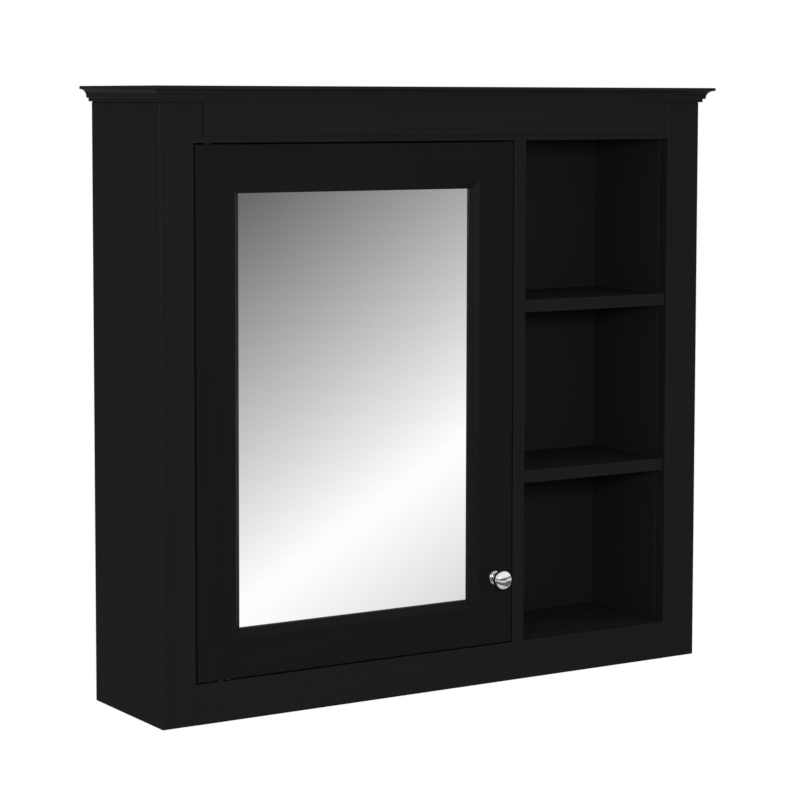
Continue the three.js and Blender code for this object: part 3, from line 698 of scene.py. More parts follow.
def board(node: str, finish: str, slot: str, radius: float = 0.8 * MM, body: str = CABINET,
          cuts: Sequence[Surface] = (), name: str | None = None) -> Piece:
    """A rounded board in a node's box.

    Args:
        node: The node it stands for.
        finish: Its material.
        slot: The record's slot.
        radius: How far its arrises are eased.
        body: The body it rides on.
        cuts: What is taken out of it.
        name: The piece's name, if it isn't the node's with _board after it.

    Returns:
        The piece, not yet built.
    """
    low, high = corners(node)
    surface = rounded_box(low, high, radius)
    return Piece(name or f"{node}_board", surface, finish, slot, body, (node,), cuts=list(cuts))


# ---------------------------------------------------------------- fasteners and round pieces

CUT_PROUD = 1.0 * MM
SINK_CLEARANCE = 0.3 * MM
SINK_SHANK = 1.9 * MM
SINK_EDGE = 0.1 * MM
SINK_CONE = 2.0 * MM
SINK_DEPTH = 5.0 * MM
HOLE_CHAMFER = 0.3 * MM
CUT_ROUND = 0.2 * MM
PIVOT_CLEARANCE = 0.3 * MM
PANEL_ARRIS = 0.4 * MM


@dataclass(frozen=True)
class CrossHead:
    """A screw head with a cross recess, seen from its face."""

    radius: float = 3.2 * MM
    rise: float = 0.25 * MM
    skirt: float = 1.9 * MM
    recess: float = 1.3 * MM
    arm: float = 0.55 * MM
    reach: float = 1.9 * MM
    wall_slope: float = 0.35
    end_slope: float = 0.2
    foot: float = 0.5

    def surface(self, centre: Numbers, out: Numbers, twist: float) -> Surface:
        """The head as heights over a disc.

        The height at radius r and angle t is rise (1 - r^2 / R^2), less the recess times a smooth step that
        is 1 within the arm's half width of either arm's middle line and within its reach. The rows lie
        closer out to the end of the arms. The last one drops to the skirt, and a fan closes it.

        Args:
            centre: The middle of the head's rim, on the surface it sits in.
            out: The way the head faces.
            twist: How far the cross is turned, in degrees.

        Returns:
            The closed surface.
        """
        inner = np.linspace(0, 1.15 * self.reach, 12)
        rows = np.concatenate([inner, np.linspace(1.3 * self.reach, self.radius, 4)])
        angles = np.linspace(0, 2 * math.pi, 64, endpoint=False)
        r, t = np.meshgrid(rows, angles, indexing="ij")
        turn = t + math.radians(twist)
        x, y = r * np.cos(turn), r * np.sin(turn)
        near = np.minimum(np.abs(x), np.abs(y))
        wall = np.clip((self.arm - near) / (self.wall_slope * self.arm) + 0.5, 0, 1)
        end = np.clip((self.reach - r) / (self.end_slope * self.reach) + 0.5, 0, 1)
        height = self.rise * (1 - (r / self.radius) ** 2) - self.recess * wall * end
        local = np.stack([r * np.cos(t), r * np.sin(t), height], -1)
        rim = local[-1].copy()
        rim[:, :2] *= self.foot
        rim[:, 2] = -self.skirt
        foot = np.zeros_like(rim)
        foot[:, 2] = -self.skirt
        local = np.concatenate([local, rim[None], foot[None]]).reshape(-1, 3)
        points = np.asarray(centre, float) + local @ frame_of(out)
        triangles = grid_triangles(len(rows) + 2, len(angles), wrap_columns=True)
        return welded(Surface(points, triangles, np.zeros(len(points))))


def head_plane(node: str, out: Axis) -> np.ndarray:
    """The middle of the face of a screw's node that looks the way its head faces."""
    low, high = corners(node)
    way = np.array(out.value)
    return (low + high) / 2 + way * ((high - low) @ np.abs(way)) / 2


def screw_piece(node: str, out: Axis, twist: float, body: str = CABINET) -> Piece:
    """A screw's head in place of its node, facing out of the surface it holds.

    Args:
        node: The screw's node, whose box gives its axis and the plane of its head.
        out: The way the head faces.
        twist: The turn of its cross recess, in degrees.
        body: The body it rides on.

    Returns:
        The piece, not yet built.
    """
    head = CrossHead()
    way = np.array(out.value)
    surface = head.surface(head_plane(node, out) - way * head.rise, way, twist)
    return Piece(f"{node}_head", surface, "zinc_steel", "zinc_steel", body, (node,), crease=40)


def sink(node: str, out: Axis) -> Surface:
    """The countersink of a screw: a mouth as wide as its head, a cone and a way for its shank.

    Args:
        node: The screw's node, whose box gives its axis and the plane of its head.
        out: The way the head faces.

    Returns:
        The solid to take out of what the screw holds.
    """
    mouth, shank = CrossHead.radius + SINK_CLEARANCE, SINK_SHANK
    profile = np.array([
        [0, -CUT_PROUD], [mouth, -CUT_PROUD], [mouth, SINK_EDGE], [shank, SINK_EDGE + SINK_CONE],
        [shank, SINK_DEPTH], [0, SINK_DEPTH]])
    return outward(turned(profile, head_plane(node, out), -np.array(out.value), 32))


@dataclass
class Knob:
    """The polished knob: a flange against the door, a waisted neck and a low domed head."""

    flange_radius: float = 8.0 * MM
    flange_length: float = 2.4 * MM
    neck_radius: float = 4.6 * MM
    head_start: float = 12.0 * MM
    rim_start: float = 15.2 * MM
    rim_end: float = 18.6 * MM
    ease: float = 0.8 * MM
    bead: float = 0.9 * MM
    bead_out: float = 1.2 * MM
    neck_start: float = 0.5 * MM
    neck_waist: float = 1.3 * MM
    neck_flare: float = 1.4 * MM
    waist_share: float = 0.62
    under_in: float = 1.5 * MM
    under_rise: float = 0.4 * MM

    def profile(self, head_radius: float, length: float) -> np.ndarray:
        """The turned outline from the flange's back to the top of the dome.

        Args:
            head_radius: The radius of the head's rim.
            length: How far the dome stands out from the door.

        Returns:
            (radius, distance) pairs.
        """
        ease, radius, length_in = self.ease, self.neck_radius, self.flange_length
        flange_edge = arc((self.flange_radius - ease, length_in - ease), (ease, ease), 0, 90, 5)
        bead = arc((radius + self.bead_out, length_in + self.bead), (self.bead, self.bead), -90, 90, 8)
        start = np.array([radius + self.neck_start, length_in + 2 * self.bead])
        waist = np.array([radius - self.neck_waist, self.waist_share * self.head_start])
        stop = np.array([radius + self.neck_flare, self.head_start])
        neck = bend(start, waist, stop, np.linspace(0, 1, 13)[:, None])
        under_pull = np.array([head_radius - self.under_in, self.head_start + self.under_rise])
        under_stop = np.array([head_radius, self.rim_start])
        under = bend(stop, under_pull, under_stop, np.linspace(0, 1, 9)[1:, None])
        dome = arc((0, self.rim_end), (head_radius, length - self.rim_end), 0, 90, 18)
        closed = np.array([[0.0, 0.0], [self.flange_radius, 0.0]])
        return np.concatenate([closed, flange_edge, bead, neck, under, dome[:-1], [[0.0, length]]])

    def pieces(self) -> list[Piece]:
        """The knob and the head of its screw behind the door."""
        low, high = corners("knob")
        head_radius = (high[0] - low[0]) / 2
        origin = ((low[0] + high[0]) / 2, high[1], (low[2] + high[2]) / 2)
        profile = self.profile(head_radius, high[1] - low[1])
        body = Piece("knob_polished", turned(profile, origin, Axis.ROOM.value, 96), "polished_chrome",
                     "polished_chrome", DOOR, ("knob",), crease=50)
        screw = screw_piece("knob_screw", Axis.WALL, 20, DOOR)
        return [body, screw]


# ---------------------------------------------------------------- sub-assemblies


@dataclass
class TopBoard:
    """The moulded top: its routed edge carried round the front and both ends."""

    fillet_in: float = 0.9 * MM
    fillet_down: float = 3.6 * MM
    foot_out: float = 6.4 * MM
    foot_down: float = 12.2 * MM
    bead_out: float = 3.7 * MM
    bead_step: float = 1.1 * MM
    top_round: float = 1.3 * MM
    corner_round: float = 1.0 * MM
    lip_round: float = 0.6 * MM
    foot_ease: float = 0.4 * MM
    inner_ease: float = 0.2 * MM
    lower_ease: float = 0.3 * MM

    def edge_profile(self, overhang: float, thickness: float) -> tuple[np.ndarray, np.ndarray]:
        """The routed edge as (out, down) pairs from the top face to the underside, with its edge mask."""
        nose = arc((overhang - self.top_round, self.top_round), (self.top_round, self.top_round), -90, 0, 5)
        tip = overhang - self.fillet_in
        cove_size = (tip - self.foot_out, self.foot_down - self.fillet_down)
        cove = arc((tip, self.foot_down), cove_size, -90, -180, 16)
        lip_round = self.lip_round
        lip = arc((overhang - lip_round, self.fillet_down - lip_round), (lip_round, lip_round), 0, 60, 3)
        step = self.foot_down + self.bead_step
        lower = np.array([
            [self.foot_out, step - self.foot_ease], [self.foot_out - self.foot_ease, step],
            [self.bead_out + self.inner_ease, step], [self.bead_out, step + self.inner_ease],
            [self.bead_out, thickness - self.lower_ease], [self.bead_out - self.lower_ease, thickness],
        ])
        points = np.concatenate([nose, lip, cove, lower])
        # Edge mask along the routed edge: where the painted arris highlight of the lacquer shows.
        mask = np.concatenate([
            np.sin(np.linspace(0, math.pi, len(nose))), np.full(len(lip), 0.8), np.zeros(len(cove)),
            [0.6, 0.6, 0.0, 0.0, 0.3, 0.3],
        ])
        return points, mask

    def pieces(self) -> list[Piece]:
        """The board, whose section is closed across the middle and whose ends lie on the wall plane."""
        low, high = corners("top_board")
        side_low, _ = corners("side_left")
        overhang = side_low[0] - low[0]
        thickness = high[2] - low[2]
        profile, mask = self.edge_profile(overhang, thickness)
        turn = np.radians(np.linspace(0, 90, 5))
        ease = self.corner_round * np.stack([1 - np.cos(turn), 1 - np.sin(turn)], 1)
        out = profile[:, 0]
        left, right, front, wall = low[0] + overhang, high[0] - overhang, low[1] + overhang, high[1]
        rows = [np.stack([left - out, np.full_like(out, wall)], 1)]
        rows += [np.stack([left - out + x, front - out + y], 1) for x, y in ease]
        rows += [np.stack([right + out - x, front - out + y], 1) for x, y in ease[::-1]]
        rows += [np.stack([right + out, np.full_like(out, wall)], 1)]
        flat = np.stack(rows)
        depth = np.broadcast_to(high[2] - profile[:, 1], flat.shape[:2])
        stations = np.concatenate([flat, depth[..., None]], -1)
        count, size = stations.shape[:2]
        sides = grid_triangles(count, size, wrap_rows=True)
        index = np.arange(count)
        following = (index + 1) % count
        centres = np.array([[0, (front + wall) / 2, high[2]], [0, (front + wall) / 2, low[2]]])
        upper = np.stack([np.full(count, count * size), index * size, following * size], 1)
        lower = np.stack(
            [np.full(count, count * size + 1), following * size + size - 1, index * size + size - 1], 1)
        points = np.concatenate([stations.reshape(-1, 3), centres])
        surface = Surface(points, np.concatenate([sides[:, ::-1], upper, lower]),
                          np.concatenate([np.tile(mask, count), [0, 0]]))
        return [Piece("top_board_moulded", outward(surface), "lacquer_level", "black_lacquer",
                      replaces=("top_board",), crease=32, even=True)]


def hole(centre: Numbers, into: Numbers, radius: float, depth: float) -> Surface:
    """A drilled hole's solid with a small chamfer at its mouth."""
    mouth = radius + HOLE_CHAMFER
    profile = [[0, -CUT_PROUD], [mouth, -CUT_PROUD], [mouth, 0.0], [radius, HOLE_CHAMFER],
               [radius, depth], [0, depth]]
    return outward(turned(np.array(profile), centre, into, 20))


@dataclass
class ShelfPins:
    """The pins under the adjustable shelves and the rows of holes that they fit in."""

    pin_radius: float = 2.5 * MM
    flange_radius: float = 4.0 * MM
    flange: float = 1.2 * MM
    depth: float = 9.0 * MM
    pitch: float = 32.0 * MM
    ease: float = 0.4 * MM
    seat: float = 0.1 * MM
    hole_clearance: float = 0.2 * MM
    hole_extra: float = 1.5 * MM
    levels: tuple[str, ...] = ("lower", "upper")
    sides: tuple[tuple[str, Axis], ...] = (("left", Axis.RIGHT), ("right", Axis.LEFT))
    ends: tuple[str, ...] = ("front", "back")

    def nodes(self, side: str) -> list[str]:
        """The names of one side's pins."""
        return [f"shelf_pin_{level}_{side}_{end}" for level in self.levels for end in self.ends]

    def mouth(self, node: str, side: str) -> np.ndarray:
        """Where a pin goes into its upright."""
        low, high = corners(node)
        centre = (low + high) / 2
        centre[0] = corners("side_left")[1][0] if side == "left" else corners("divider")[0][0]
        return centre

    def holes(self, side: str) -> list[Surface]:
        """The holes of one upright: each pin's own, and a spare one above and below it."""
        into = dict(self.sides)[side].value
        back = -np.array(into)
        found = []
        for node in self.nodes(side):
            for step in (-1, 0, 1):
                centre = self.mouth(node, side) + np.array([0, 0, step * self.pitch])
                found.append(hole(centre, back, self.pin_radius + self.hole_clearance,
                                  self.depth + self.hole_extra))
        return found

    def pieces(self) -> list[Piece]:
        """Every pin, with eased ends and flange."""
        made = []
        r, f, ease, seat = self.pin_radius, self.flange_radius, self.ease, self.seat
        for side, into in self.sides:
            for node in self.nodes(side):
                low, high = corners(node)
                reach = (high[0] - low[0]) - self.depth
                outline = np.array([
                    [0, -self.depth], [r - ease, -self.depth], [r, -self.depth + ease], [r, seat],
                    [f - ease, seat], [f, seat + ease], [f, self.flange - ease], [f - ease, self.flange],
                    [r, self.flange], [r, reach - ease], [r - ease, reach], [0, reach]])
                surface = outward(turned(outline, self.mouth(node, side), into.value, 40))
                made.append(Piece(f"{node}_turned", surface, "zinc_steel", "zinc_steel", replaces=(node,)))
        return made


def pivot_pocket(plate: str, mouth: Axis) -> Surface:
    """The recess that a pivot plate lies in, open at its mouth.

    Args:
        plate: The plate's node.
        mouth: The way out of the board.

    Returns:
        The solid to take out of the board.
    """
    low, high = corners(plate)
    way = np.array(mouth.value)
    return rounded_box(low - PIVOT_CLEARANCE + np.minimum(way, 0) * CUT_PROUD,
                       high + PIVOT_CLEARANCE + np.maximum(way, 0) * CUT_PROUD, CUT_ROUND)


@dataclass
class Case:
    """The fixed boards: sides, face frame, frieze, shelves, back and lower hanging rail."""

    arris: float = 1.0 * MM
    inner_arris: float = 0.6 * MM
    frieze_arris: float = 1.1 * MM
    pins: ShelfPins = field(default_factory=ShelfPins)

    def pieces(self) -> list[Piece]:
        """Every board of the case."""
        upright, level = "lacquer_upright", "lacquer_level"
        # inner: the black lacquer made lighter for the shaded bays, painted light.
        slot, inner = "black_lacquer", "lacquer_inner_brightened"
        made = [
            board("side_left", upright, slot, self.arris, cuts=self.pins.holes("left")),
            board("side_right", upright, slot, self.arris),
            board("stile_left", upright, slot, self.arris),
            board("stile_right", upright, slot, self.arris),
            board("header_rail", level, slot, self.inner_arris,
                  cuts=[pivot_pocket("pivot_plate_case_upper", Axis.DOWN)]),
            board("bottom_rail", level, slot, self.inner_arris,
                  cuts=[pivot_pocket("pivot_plate_case_lower", Axis.UP)]),
            board("frieze_panel", level, slot, self.frieze_arris),
            board("case_top", inner, slot, self.inner_arris),
            board("case_bottom", inner, slot, self.inner_arris),
            board("divider", upright, slot, self.arris, cuts=self.pins.holes("right")),
            board("bay_liner", inner, slot, self.inner_arris),
            board("bay_shelf_lower", level, slot, self.arris),
            board("bay_shelf_upper", level, slot, self.arris),
            board("shelf_lower", inner, "inner_lacquer", self.arris),
            board("shelf_upper", inner, "inner_lacquer", self.arris),
            board("back_panel", "hardboard", "back_board", PANEL_ARRIS),
            board("hanging_rail_lower", "hardboard", "back_board", self.arris),
        ]
        return made + self.pins.pieces()


@dataclass
class DoorFrame:
    """The mitred door frame, its backing and the mirror."""

    slope_width: float = 8.4 * MM
    slope_depth: float = 7.0 * MM
    sight_depth: float = 10.0 * MM
    rebate: float = 8.0 * MM
    arris: float = 0.7 * MM
    glass_arris: float = 0.5 * MM

    def section(self, width: float, thickness: float) -> tuple[np.ndarray, np.ndarray]:
        """A member's eased section, as (in from the outer edge, back from the face), and its edge mask."""
        face = width - self.slope_width
        outline = [
            (0, 0), (face, 0), (width, self.slope_depth), (width, self.sight_depth),
            (width - self.rebate, self.sight_depth), (width - self.rebate, thickness), (0, thickness),
        ]
        return eased(outline, self.arris)

    def member(self, name: str, finish: str, outer: float, inward: int, upright: bool,
               span: Span, meets: Span) -> Piece:
        """One stile or rail.

        A point of the section that lies past the flat face, in the slope, ends where it meets the slope of
        the next member: its end is moved in by how far past the face it is, which mitres the slopes at 45
        degrees.

        Args:
            name: The node it stands for.
            finish: Its material.
            outer: The place of its outer edge across its length.
            inward: +1 or -1, the way from the outer edge to the mirror.
            upright: Whether it is a stile.
            span: Where the flat part of the member starts and ends along its length.
            meets: How far in from each end of the span the slope's mitre starts.

        Returns:
            The piece, not yet built.
        """
        low, high = corners(name)
        across = 0 if upright else 2
        width = high[across] - low[across]
        section, mask = self.section(width, high[1] - low[1])
        past = np.clip(section[:, 0] - (width - self.slope_width), 0, None)
        moved = [np.where(past > 0, meet + past, 0.0) for meet in meets]
        ends = [span[0] + moved[0], span[1] - moved[1]]
        rows = []
        for end in ends:
            place = np.empty((len(section), 3))
            place[:, across] = outer + inward * section[:, 0]
            place[:, 1] = low[1] + section[:, 1]
            place[:, 2 if upright else 0] = end
            rows.append(place)
        surface = capped_sweep(mask, np.stack(rows))
        cuts = []
        if name == "door_stile_left":
            cuts = [pivot_pocket(f"pivot_plate_door_{level}", away) for level, away in Pivots.levels]
        return Piece(f"{name}_shaped", surface, finish, "door_lacquer", DOOR, (name,), crease=25, even=True,
                     cuts=cuts)

    def pieces(self) -> list[Piece]:
        """Both stiles, both rails, the mirror and its backing."""
        left_low, left_high = corners("door_stile_left")
        right_low, right_high = corners("door_stile_right")
        top_low, top_high = corners("door_rail_top")
        bottom_low, bottom_high = corners("door_rail_bottom")
        flat_left = left_high[0] - self.slope_width
        flat_right = right_low[0] + self.slope_width
        flat_top = top_high[2] - top_low[2] - self.slope_width
        flat_bottom = bottom_high[2] - bottom_low[2] - self.slope_width
        heights, widths = (left_low[2], left_high[2]), (flat_left, flat_right)
        upright, level = "lacquer_door_upright", "lacquer_door_level"
        stile_meets, rail_meets = (flat_bottom, flat_top), (0.0, 0.0)
        return [
            self.member("door_stile_left", upright, left_low[0], 1, True, heights, stile_meets),
            self.member("door_stile_right", upright, right_high[0], -1, True, heights, stile_meets),
            self.member("door_rail_top", level, top_high[2], -1, False, widths, rail_meets),
            self.member("door_rail_bottom", level, bottom_low[2], 1, False, widths, rail_meets),
            board("mirror_pane", "silvered_glass", "mirror", self.glass_arris, DOOR, name="mirror_glass"),
            board("mirror_backing", "hardboard", "back_board", PANEL_ARRIS, DOOR),
        ]


@dataclass
class Catch:
    """The magnetic catch on the divider and the strike plate that it pulls on."""

    lug_thickness: float = 4.0 * MM
    lug_length: float = 12.0 * MM
    pole_thickness: float = 1.2 * MM
    pole_proud: float = 0.3 * MM
    pole_margin: float = 3.0 * MM
    pole_depth: float = 4.0 * MM
    pole_shares: Span = (0.3, 0.7)
    housing_round: float = 1.2 * MM
    lug_round: float = 1.0 * MM
    strike_round: float = 0.35 * MM

    def pieces(self) -> list[Piece]:
        """The housing with its lugs, the magnet's two pole plates, the strike and all their screws."""
        low, high = corners("catch_body")
        core_low, core_high = low.copy(), high.copy()
        core_low[2] += self.lug_length
        core_high[2] -= self.lug_length
        lug_low = low.copy()
        lug_low[0] = high[0] - self.lug_thickness
        screws = (1, 2)
        poles = []
        half, margin = self.pole_thickness / 2, self.pole_margin
        for share in self.pole_shares:
            middle = core_low[0] + share * (core_high[0] - core_low[0])
            poles.append(rounded_box(
                (middle - half, low[1] - self.pole_proud, core_low[2] + margin),
                (middle + half, low[1] + self.pole_depth, core_high[2] - margin), CUT_ROUND))
        made = [
            Piece("catch_housing", rounded_box(core_low, core_high, self.housing_round), "moulded_plastic",
                  "black_plastic", replaces=("catch_body",)),
            Piece("catch_lugs", rounded_box(lug_low, high, self.lug_round), "moulded_plastic",
                  "black_plastic", cuts=[sink(f"catch_screw_{i}", Axis.LEFT) for i in screws]),
            Piece("catch_pole_plates", joined(poles), "zinc_steel", "zinc_steel"),
            board("strike_plate", "zinc_steel", "zinc_steel", self.strike_round, DOOR,
                  cuts=[sink("strike_screw", Axis.WALL)], name="strike_plate_pressed"),
            screw_piece("strike_screw", Axis.WALL, 35, DOOR),
        ]
        return made + [screw_piece(f"catch_screw_{i}", Axis.LEFT, 25.0 * i) for i in screws]


@dataclass
class WallHangers:
    """The hanging rail with its two keyhole plates and their screws."""

    keyhole_radius: float = 5.2 * MM
    slot_half: float = 2.7 * MM
    keyhole_length: float = 16.0 * MM
    pocket_half: float = 6.5 * MM
    pocket_depth: float = 9.0 * MM
    pocket_margin: float = 1.5 * MM
    clearance: float = 0.3 * MM
    ease: float = 0.3 * MM
    rail_arris: float = 1.0 * MM
    hands: tuple[str, ...] = ("left", "right")

    def keyhole(self, centre: np.ndarray, steps: int = 14) -> np.ndarray:
        """The keyhole's outline in X and Z: a round entry below, a round-ended slot above."""
        half = self.keyhole_length / 2
        neck = math.degrees(math.asin(self.slot_half / self.keyhole_radius))
        upper = arc((centre[0], centre[2] + half), (self.slot_half, self.slot_half), 0, 180, steps)
        lower = arc((centre[0], centre[2] - half), (self.keyhole_radius, self.keyhole_radius),
                    90 + neck, 450 - neck, 2 * steps)
        return np.concatenate([upper, lower])

    def plate(self, hand: str) -> Piece:
        """A keyhole plate: rings between the keyhole and the plate's outline, over its face and edges.

        Both outlines are sampled at the same angles about the plate's middle, so that the face is a grid
        from one to the other, and an arris is eased over on the outline and on the keyhole.

        Args:
            hand: Which of the two plates it is.

        Returns:
            The piece, not yet built.
        """
        low, high = corners(f"hanger_plate_{hand}")
        centre = (low + high) / 2
        half_width, half_height = (high[0] - low[0]) / 2, (high[2] - low[2]) / 2
        hole_line = self.keyhole(centre)
        straight = half_height - half_width
        rim = np.concatenate([
            arc((centre[0], centre[2] + straight), (half_width, half_width), 0, 180, 20),
            arc((centre[0], centre[2] - straight), (half_width, half_width), 180, 360, 20),
        ])
        angles = np.linspace(-math.pi, math.pi, 160, endpoint=False)
        inner = self.at_angles(hole_line, centre, angles)
        outer = self.at_angles(rim, centre, angles)
        out = (outer - inner) / np.linalg.norm(outer - inner, axis=1, keepdims=True)
        ease, back, face = self.ease, low[1], high[1]
        rings = [
            (inner, back), (inner, face - ease), (inner + out * ease, face),
            (outer - out * ease, face), (outer, face - ease), (outer, back),
        ]
        points = np.stack([np.insert(ring, 1, y, axis=1) for ring, y in rings])
        triangles = grid_triangles(len(rings), len(angles), wrap_rows=True, wrap_columns=True)
        surface = outward(Surface(points.reshape(-1, 3), triangles, np.zeros(points.size // 3)))
        cuts = [sink(f"hanger_screw_{hand}_{i}", Axis.WALL) for i in (1, 2)]
        return Piece(f"hanger_plate_{hand}_pressed", surface, "zinc_steel", "zinc_steel",
                     replaces=(f"hanger_plate_{hand}",), cuts=cuts)

    @staticmethod
    def at_angles(line: np.ndarray, centre: np.ndarray, angles: np.ndarray) -> np.ndarray:
        """Where rays at some angles from a centre meet a closed line."""
        offset = line - centre[[0, 2]]
        at = np.unwrap(np.arctan2(offset[:, 1], offset[:, 0]))
        at, offset = np.concatenate([at, [at[0] + 2 * math.pi]]), np.concatenate([offset, offset[:1]])
        base = at[0]
        wanted = (angles - base) % (2 * math.pi) + base
        return centre[[0, 2]] + np.stack([np.interp(wanted, at, offset[:, k]) for k in (0, 1)], 1)

    def pocket(self, hand: str) -> list[Surface]:
        """The recess for a plate and the deeper one behind its keyhole."""
        low, high = corners(f"hanger_plate_{hand}")
        centre = (low + high) / 2
        reach = self.keyhole_length / 2 + self.keyhole_radius + self.pocket_margin
        mouth = np.array([self.clearance, 2 * CUT_PROUD, self.clearance])
        shallow = rounded_box(low - self.clearance, high + mouth, CUT_ROUND)
        deep = rounded_box(
            (centre[0] - self.pocket_half, low[1] - self.pocket_depth, centre[2] - reach),
            (centre[0] + self.pocket_half, high[1] + CUT_PROUD, centre[2] + reach), CUT_ROUND)
        return [shallow, deep]

    def pieces(self) -> list[Piece]:
        """The upper rail, the plates and the screw heads."""
        made = [board("hanging_rail_upper", "hardboard", "back_board", self.rail_arris,
                      cuts=[cut for hand in self.hands for cut in self.pocket(hand)])]
        for hand in self.hands:
            made.append(self.plate(hand))
            made += [screw_piece(f"hanger_screw_{hand}_{i}", Axis.WALL, 40.0 * i) for i in (1, 2)]
        return made


@dataclass
class Pivots:
    """The hidden pivot hinges in the top and bottom edges of the door."""

    levels: tuple[tuple[str, Axis], ...] = (("upper", Axis.UP), ("lower", Axis.DOWN))

    def pieces(self) -> list[Piece]:
        """The screw heads of both leaves of each hinge."""
        made = []
        for level, away in self.levels:
            inward = Axis.DOWN if away is Axis.UP else Axis.UP
            for i in (1, 2):
                made.append(screw_piece(f"pivot_screw_door_{level}_{i}", away, 30.0 * i, DOOR))
                made.append(screw_piece(f"pivot_screw_case_{level}_{i}", inward, 50.0 * i))
        return made

    def dress(self, nodes: dict[str, bpy.types.Object], palette: Palette) -> None:
        """Gives the plates and pins of the frame, whose shapes stay, their blackened steel."""
        for name, node in nodes.items():
            if name.startswith("pivot_plate") or name.startswith("pivot_pin"):
                node.data.materials.clear()
                node.data.materials.append(palette["blackened_steel"])


# ---------------------------------------------------------------- studio


@dataclass
class Camera:
    """A long lens a little to the left of the cabinet and level with its top, with a small lens drop."""

    position: tuple[float, float, float] = (-1.6101, -2.6072, 0.0437)
    yaw: float = 32.366
    pitch: float = -4.588
    roll: float = 0.108
    lens: float = 115.18
    shift: float = -0.12

    def make(self) -> None:
        """Adds the camera.

        Its forward way is (sin yaw cos pitch, cos yaw cos pitch, sin pitch), and its right and up ways are
        turned about that by the roll.
        """
        yaw, pitch, roll = (math.radians(a) for a in (self.yaw, self.pitch, self.roll))
        level = np.array([math.cos(yaw), -math.sin(yaw), 0.0])
        ahead = np.array([math.sin(yaw), math.cos(yaw), 0.0])
        forward = math.cos(pitch) * ahead + math.sin(pitch) * np.array(Axis.UP.value)
        rise = np.cross(level, forward)
        right = math.cos(roll) * level + math.sin(roll) * rise
        up = -math.sin(roll) * level + math.cos(roll) * rise
        data = bpy.data.cameras.new("camera")
        data.lens, data.sensor_width, data.shift_y = self.lens, 36.0, self.shift
        data.clip_end = 60.0
        camera = bpy.data.objects.new("camera", data)
        bpy.context.scene.collection.objects.link(camera)
        turn = Matrix(np.stack([right, up, -forward], 1).tolist()).to_4x4()
        camera.matrix_world = Matrix.Translation(self.position) @ turn
        bpy.context.scene.camera = camera


@dataclass(frozen=True)
class Lamp:
    """A square soft light at a place, turned to its aim."""

    name: str
    place: Rgb
    aim: Rgb
    size: float
    power: float

    def make(self) -> None:
        """Adds the light."""
        data = bpy.data.lights.new(self.name, "AREA")
        data.size, data.energy, data.shape = self.size, self.power, "SQUARE"
        lamp = bpy.data.objects.new(self.name, data)
        bpy.context.scene.collection.objects.link(lamp)
        back = np.array(self.place) - np.array(self.aim)
        frame = frame_of(back / np.linalg.norm(back))
        lamp.matrix_world = Matrix.Translation(self.place) @ Matrix(frame.T.tolist()).to_4x4()


LAMPS = (
    Lamp("key", (-1.2, -2.35, 0.2), (0, 0, -0.25), 0.35, 33),
    Lamp("left", (-2.4, 0.7, 0.5), (-0.38, 0.1, -0.1), 0.5, 6),
    Lamp("behind", (1.0, 2.6, 1.6), (0, 0, -0.3), 1.6, 16),
)


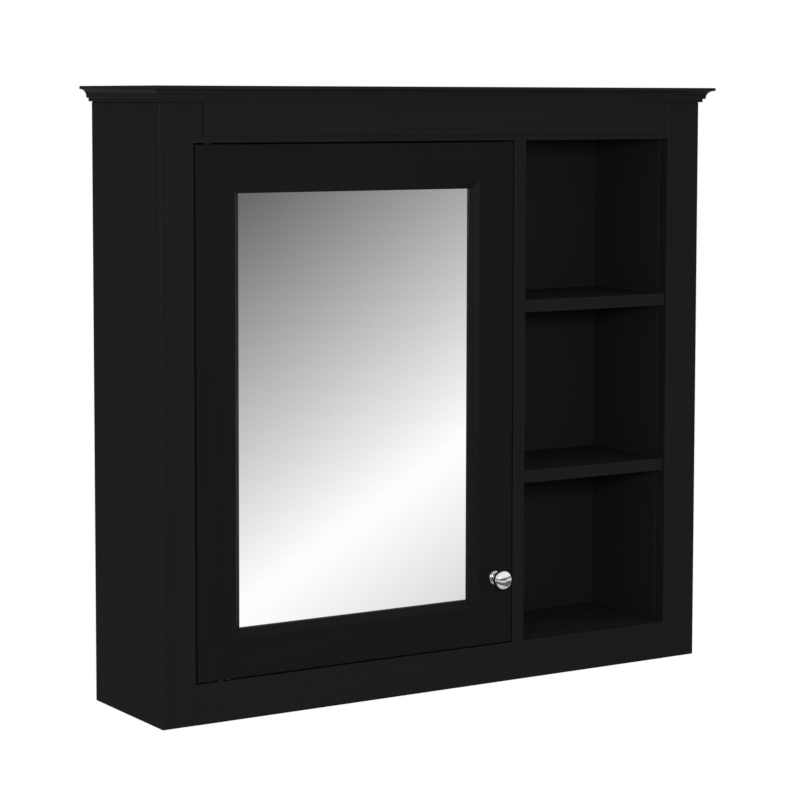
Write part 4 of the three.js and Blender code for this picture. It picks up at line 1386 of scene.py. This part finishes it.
@dataclass
class Studio:
    """Soft light all round: pale a little below and to the right, dim at eye level, white overhead."""

    floor_drop: float = 1.1
    floor_radius: float = 1.35
    floor_rim: float = 0.03
    floor_depth: float = 0.05
    floor_centre: float = -0.1
    dim: float = 0.142
    slope: float = 0.52
    curve: float = 0.43
    across: float = 0.4
    ceiling: float = 1.0
    peak: float = 0.97
    fall: float = 0.85
    ground: float = 0.14
    ceiling_span: Span = (0.06, 0.3)
    back: float = 0.16
    back_share: float = 0.1
    back_span: Span = (-0.25, 0.25)
    back_under: float = 0.9
    back_under_span: Span = (-0.36, -0.5)
    sideways: Span = (28.6, 33.9)
    sideways_limits: Span = (-0.5, 1.6)
    downward: Span = (-2.3, -12.0)
    fill: float = 0.42

    def world(self) -> None:
        """The surroundings, by the way that a ray leaves in.

        With s growing as a ray points further down and to the right, a mirror sees dim + slope s + curve s^2
        up to white at the peak, then falls again to the ground's grey, and overhead the light grows once
        more. Behind the wall plane it is dim, but pale low down. Matt surfaces get an even fill, and what the
        camera sees past the cabinet is white.
        """
        world = bpy.data.worlds.new("studio")
        bpy.context.scene.world = world
        world.use_nodes = True
        graph = Graph(world.node_tree)
        way = graph.add("ShaderNodeTexCoord").outputs["Generated"]
        parts = graph.add("ShaderNodeSeparateXYZ", Vector=way).outputs
        side = graph.maths("ABSOLUTE", parts["X"])
        flat = graph.maths("DIVIDE", side, graph.maths("MAXIMUM", graph.maths("ABSOLUTE", parts["Y"]), 0.2))
        low_side, high_side = (math.tan(math.radians(angle)) for angle in self.sideways)
        u = graph.maths("DIVIDE", graph.maths("SUBTRACT", flat, low_side), high_side - low_side)
        least, most = self.sideways_limits
        u = graph.maths("MINIMUM", graph.maths("MAXIMUM", u, least), most)
        low_rise, high_rise = (math.sin(math.radians(angle)) for angle in self.downward)
        v = graph.maths("DIVIDE", graph.maths("SUBTRACT", parts["Z"], low_rise), high_rise - low_rise)
        s = graph.maths("MAXIMUM", graph.maths("MULTIPLY_ADD", u, self.across, v), 0.0)
        bent = graph.maths("MULTIPLY_ADD", s, self.curve, self.slope)
        seen = graph.maths("MULTIPLY_ADD", s, bent, self.dim)
        overhead = graph.ramp(parts["Z"], self.ceiling_span, (0.0, self.ceiling))
        falling = graph.maths("MULTIPLY_ADD", s, -self.fall, 1.0 + self.fall * self.peak)
        seen = graph.maths("MAXIMUM", graph.maths("MINIMUM", seen, falling), self.ground)
        seen = graph.maths("MINIMUM", graph.maths("ADD", seen, overhead), 1.0)
        behind = graph.ramp(parts["Y"], self.back_span, (0.0, 1.0))
        under = graph.ramp(parts["Z"], self.back_under_span, (self.back, self.back_under))
        dimmed = graph.maths("MULTIPLY_ADD", seen, self.back_share, under)
        seen = graph.blend(behind, seen, dimmed)
        path = graph.add("ShaderNodeLightPath").outputs
        lit = graph.blend(path["Is Diffuse Ray"], seen, self.fill)
        white = graph.blend(path["Is Camera Ray"], lit, 1.0)
        background = graph.add("ShaderNodeBackground", Color=rgba((1.0, 1.0, 1.0)), Strength=white)
        graph.add("ShaderNodeOutputWorld", Surface=background.outputs[0])

    def floor(self, lowest: float) -> None:
        """A pale round floor under the cabinet, its rim turned down.

        Args:
            lowest: The height of the cabinet's lower edge.
        """
        level = lowest - self.floor_drop
        radius, ease, depth = self.floor_radius, self.floor_rim, self.floor_depth
        rim = arc((radius - ease, -ease), (ease, ease), 90, 0, 6)
        profile = np.concatenate([[[0.0, 0.0]], rim, [[radius, -depth], [0.0, -depth]]])
        surface = outward(turned(profile, (0, self.floor_centre, level), Axis.UP.value, 160))
        mesh = bpy.data.meshes.new("floor")
        mesh.from_pydata(surface.points.tolist(), [], surface.triangles.tolist())
        floor = bpy.data.objects.new("floor", mesh)
        bpy.context.scene.collection.objects.link(floor)
        material = bpy.data.materials.new("pale_floor")
        material.use_nodes = True
        graph = Graph(material.node_tree)
        place = graph.add("ShaderNodeTexCoord").outputs["Object"]
        haze = graph.group(shared_group("surface_haze"), Vector=place, Scale=1.5, Low=0.55, High=0.7)
        shader = graph.add("ShaderNodeBsdfPrincipled", Base_Color=rgba((0.86, 0.86, 0.86)),
                           Roughness=haze.outputs[0], Specular_IOR_Level=0.2)
        graph.add("ShaderNodeOutputMaterial", Surface=shader.outputs[0])
        mesh.materials.append(material)

    def make(self, lowest: float) -> None:
        """Adds the surroundings, the floor and the lights, and shows colours as they are."""
        bpy.context.scene.view_settings.view_transform = "Standard"
        self.world()
        self.floor(lowest)
        for lamp in LAMPS:
            lamp.make()


def main() -> None:
    """Builds the camera, the studio and every sub-assembly."""
    logging.basicConfig(level=logging.INFO, format="%(name)s: %(message)s")
    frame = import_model()
    Camera().make()
    Studio().make(float(corners("bottom_rail")[0][2]))
    palette = Palette()
    pivots = Pivots()
    count = 0
    for assembly in (TopBoard(), Case(), WallHangers(), Catch(), DoorFrame(), Knob(), pivots):
        for piece in assembly.pieces():
            piece.build(palette)
            count += 1
    pivots.dress(frame["nodes"], palette)
    LOG.info("%d pieces", count)


if __name__ == "__main__":
    main()
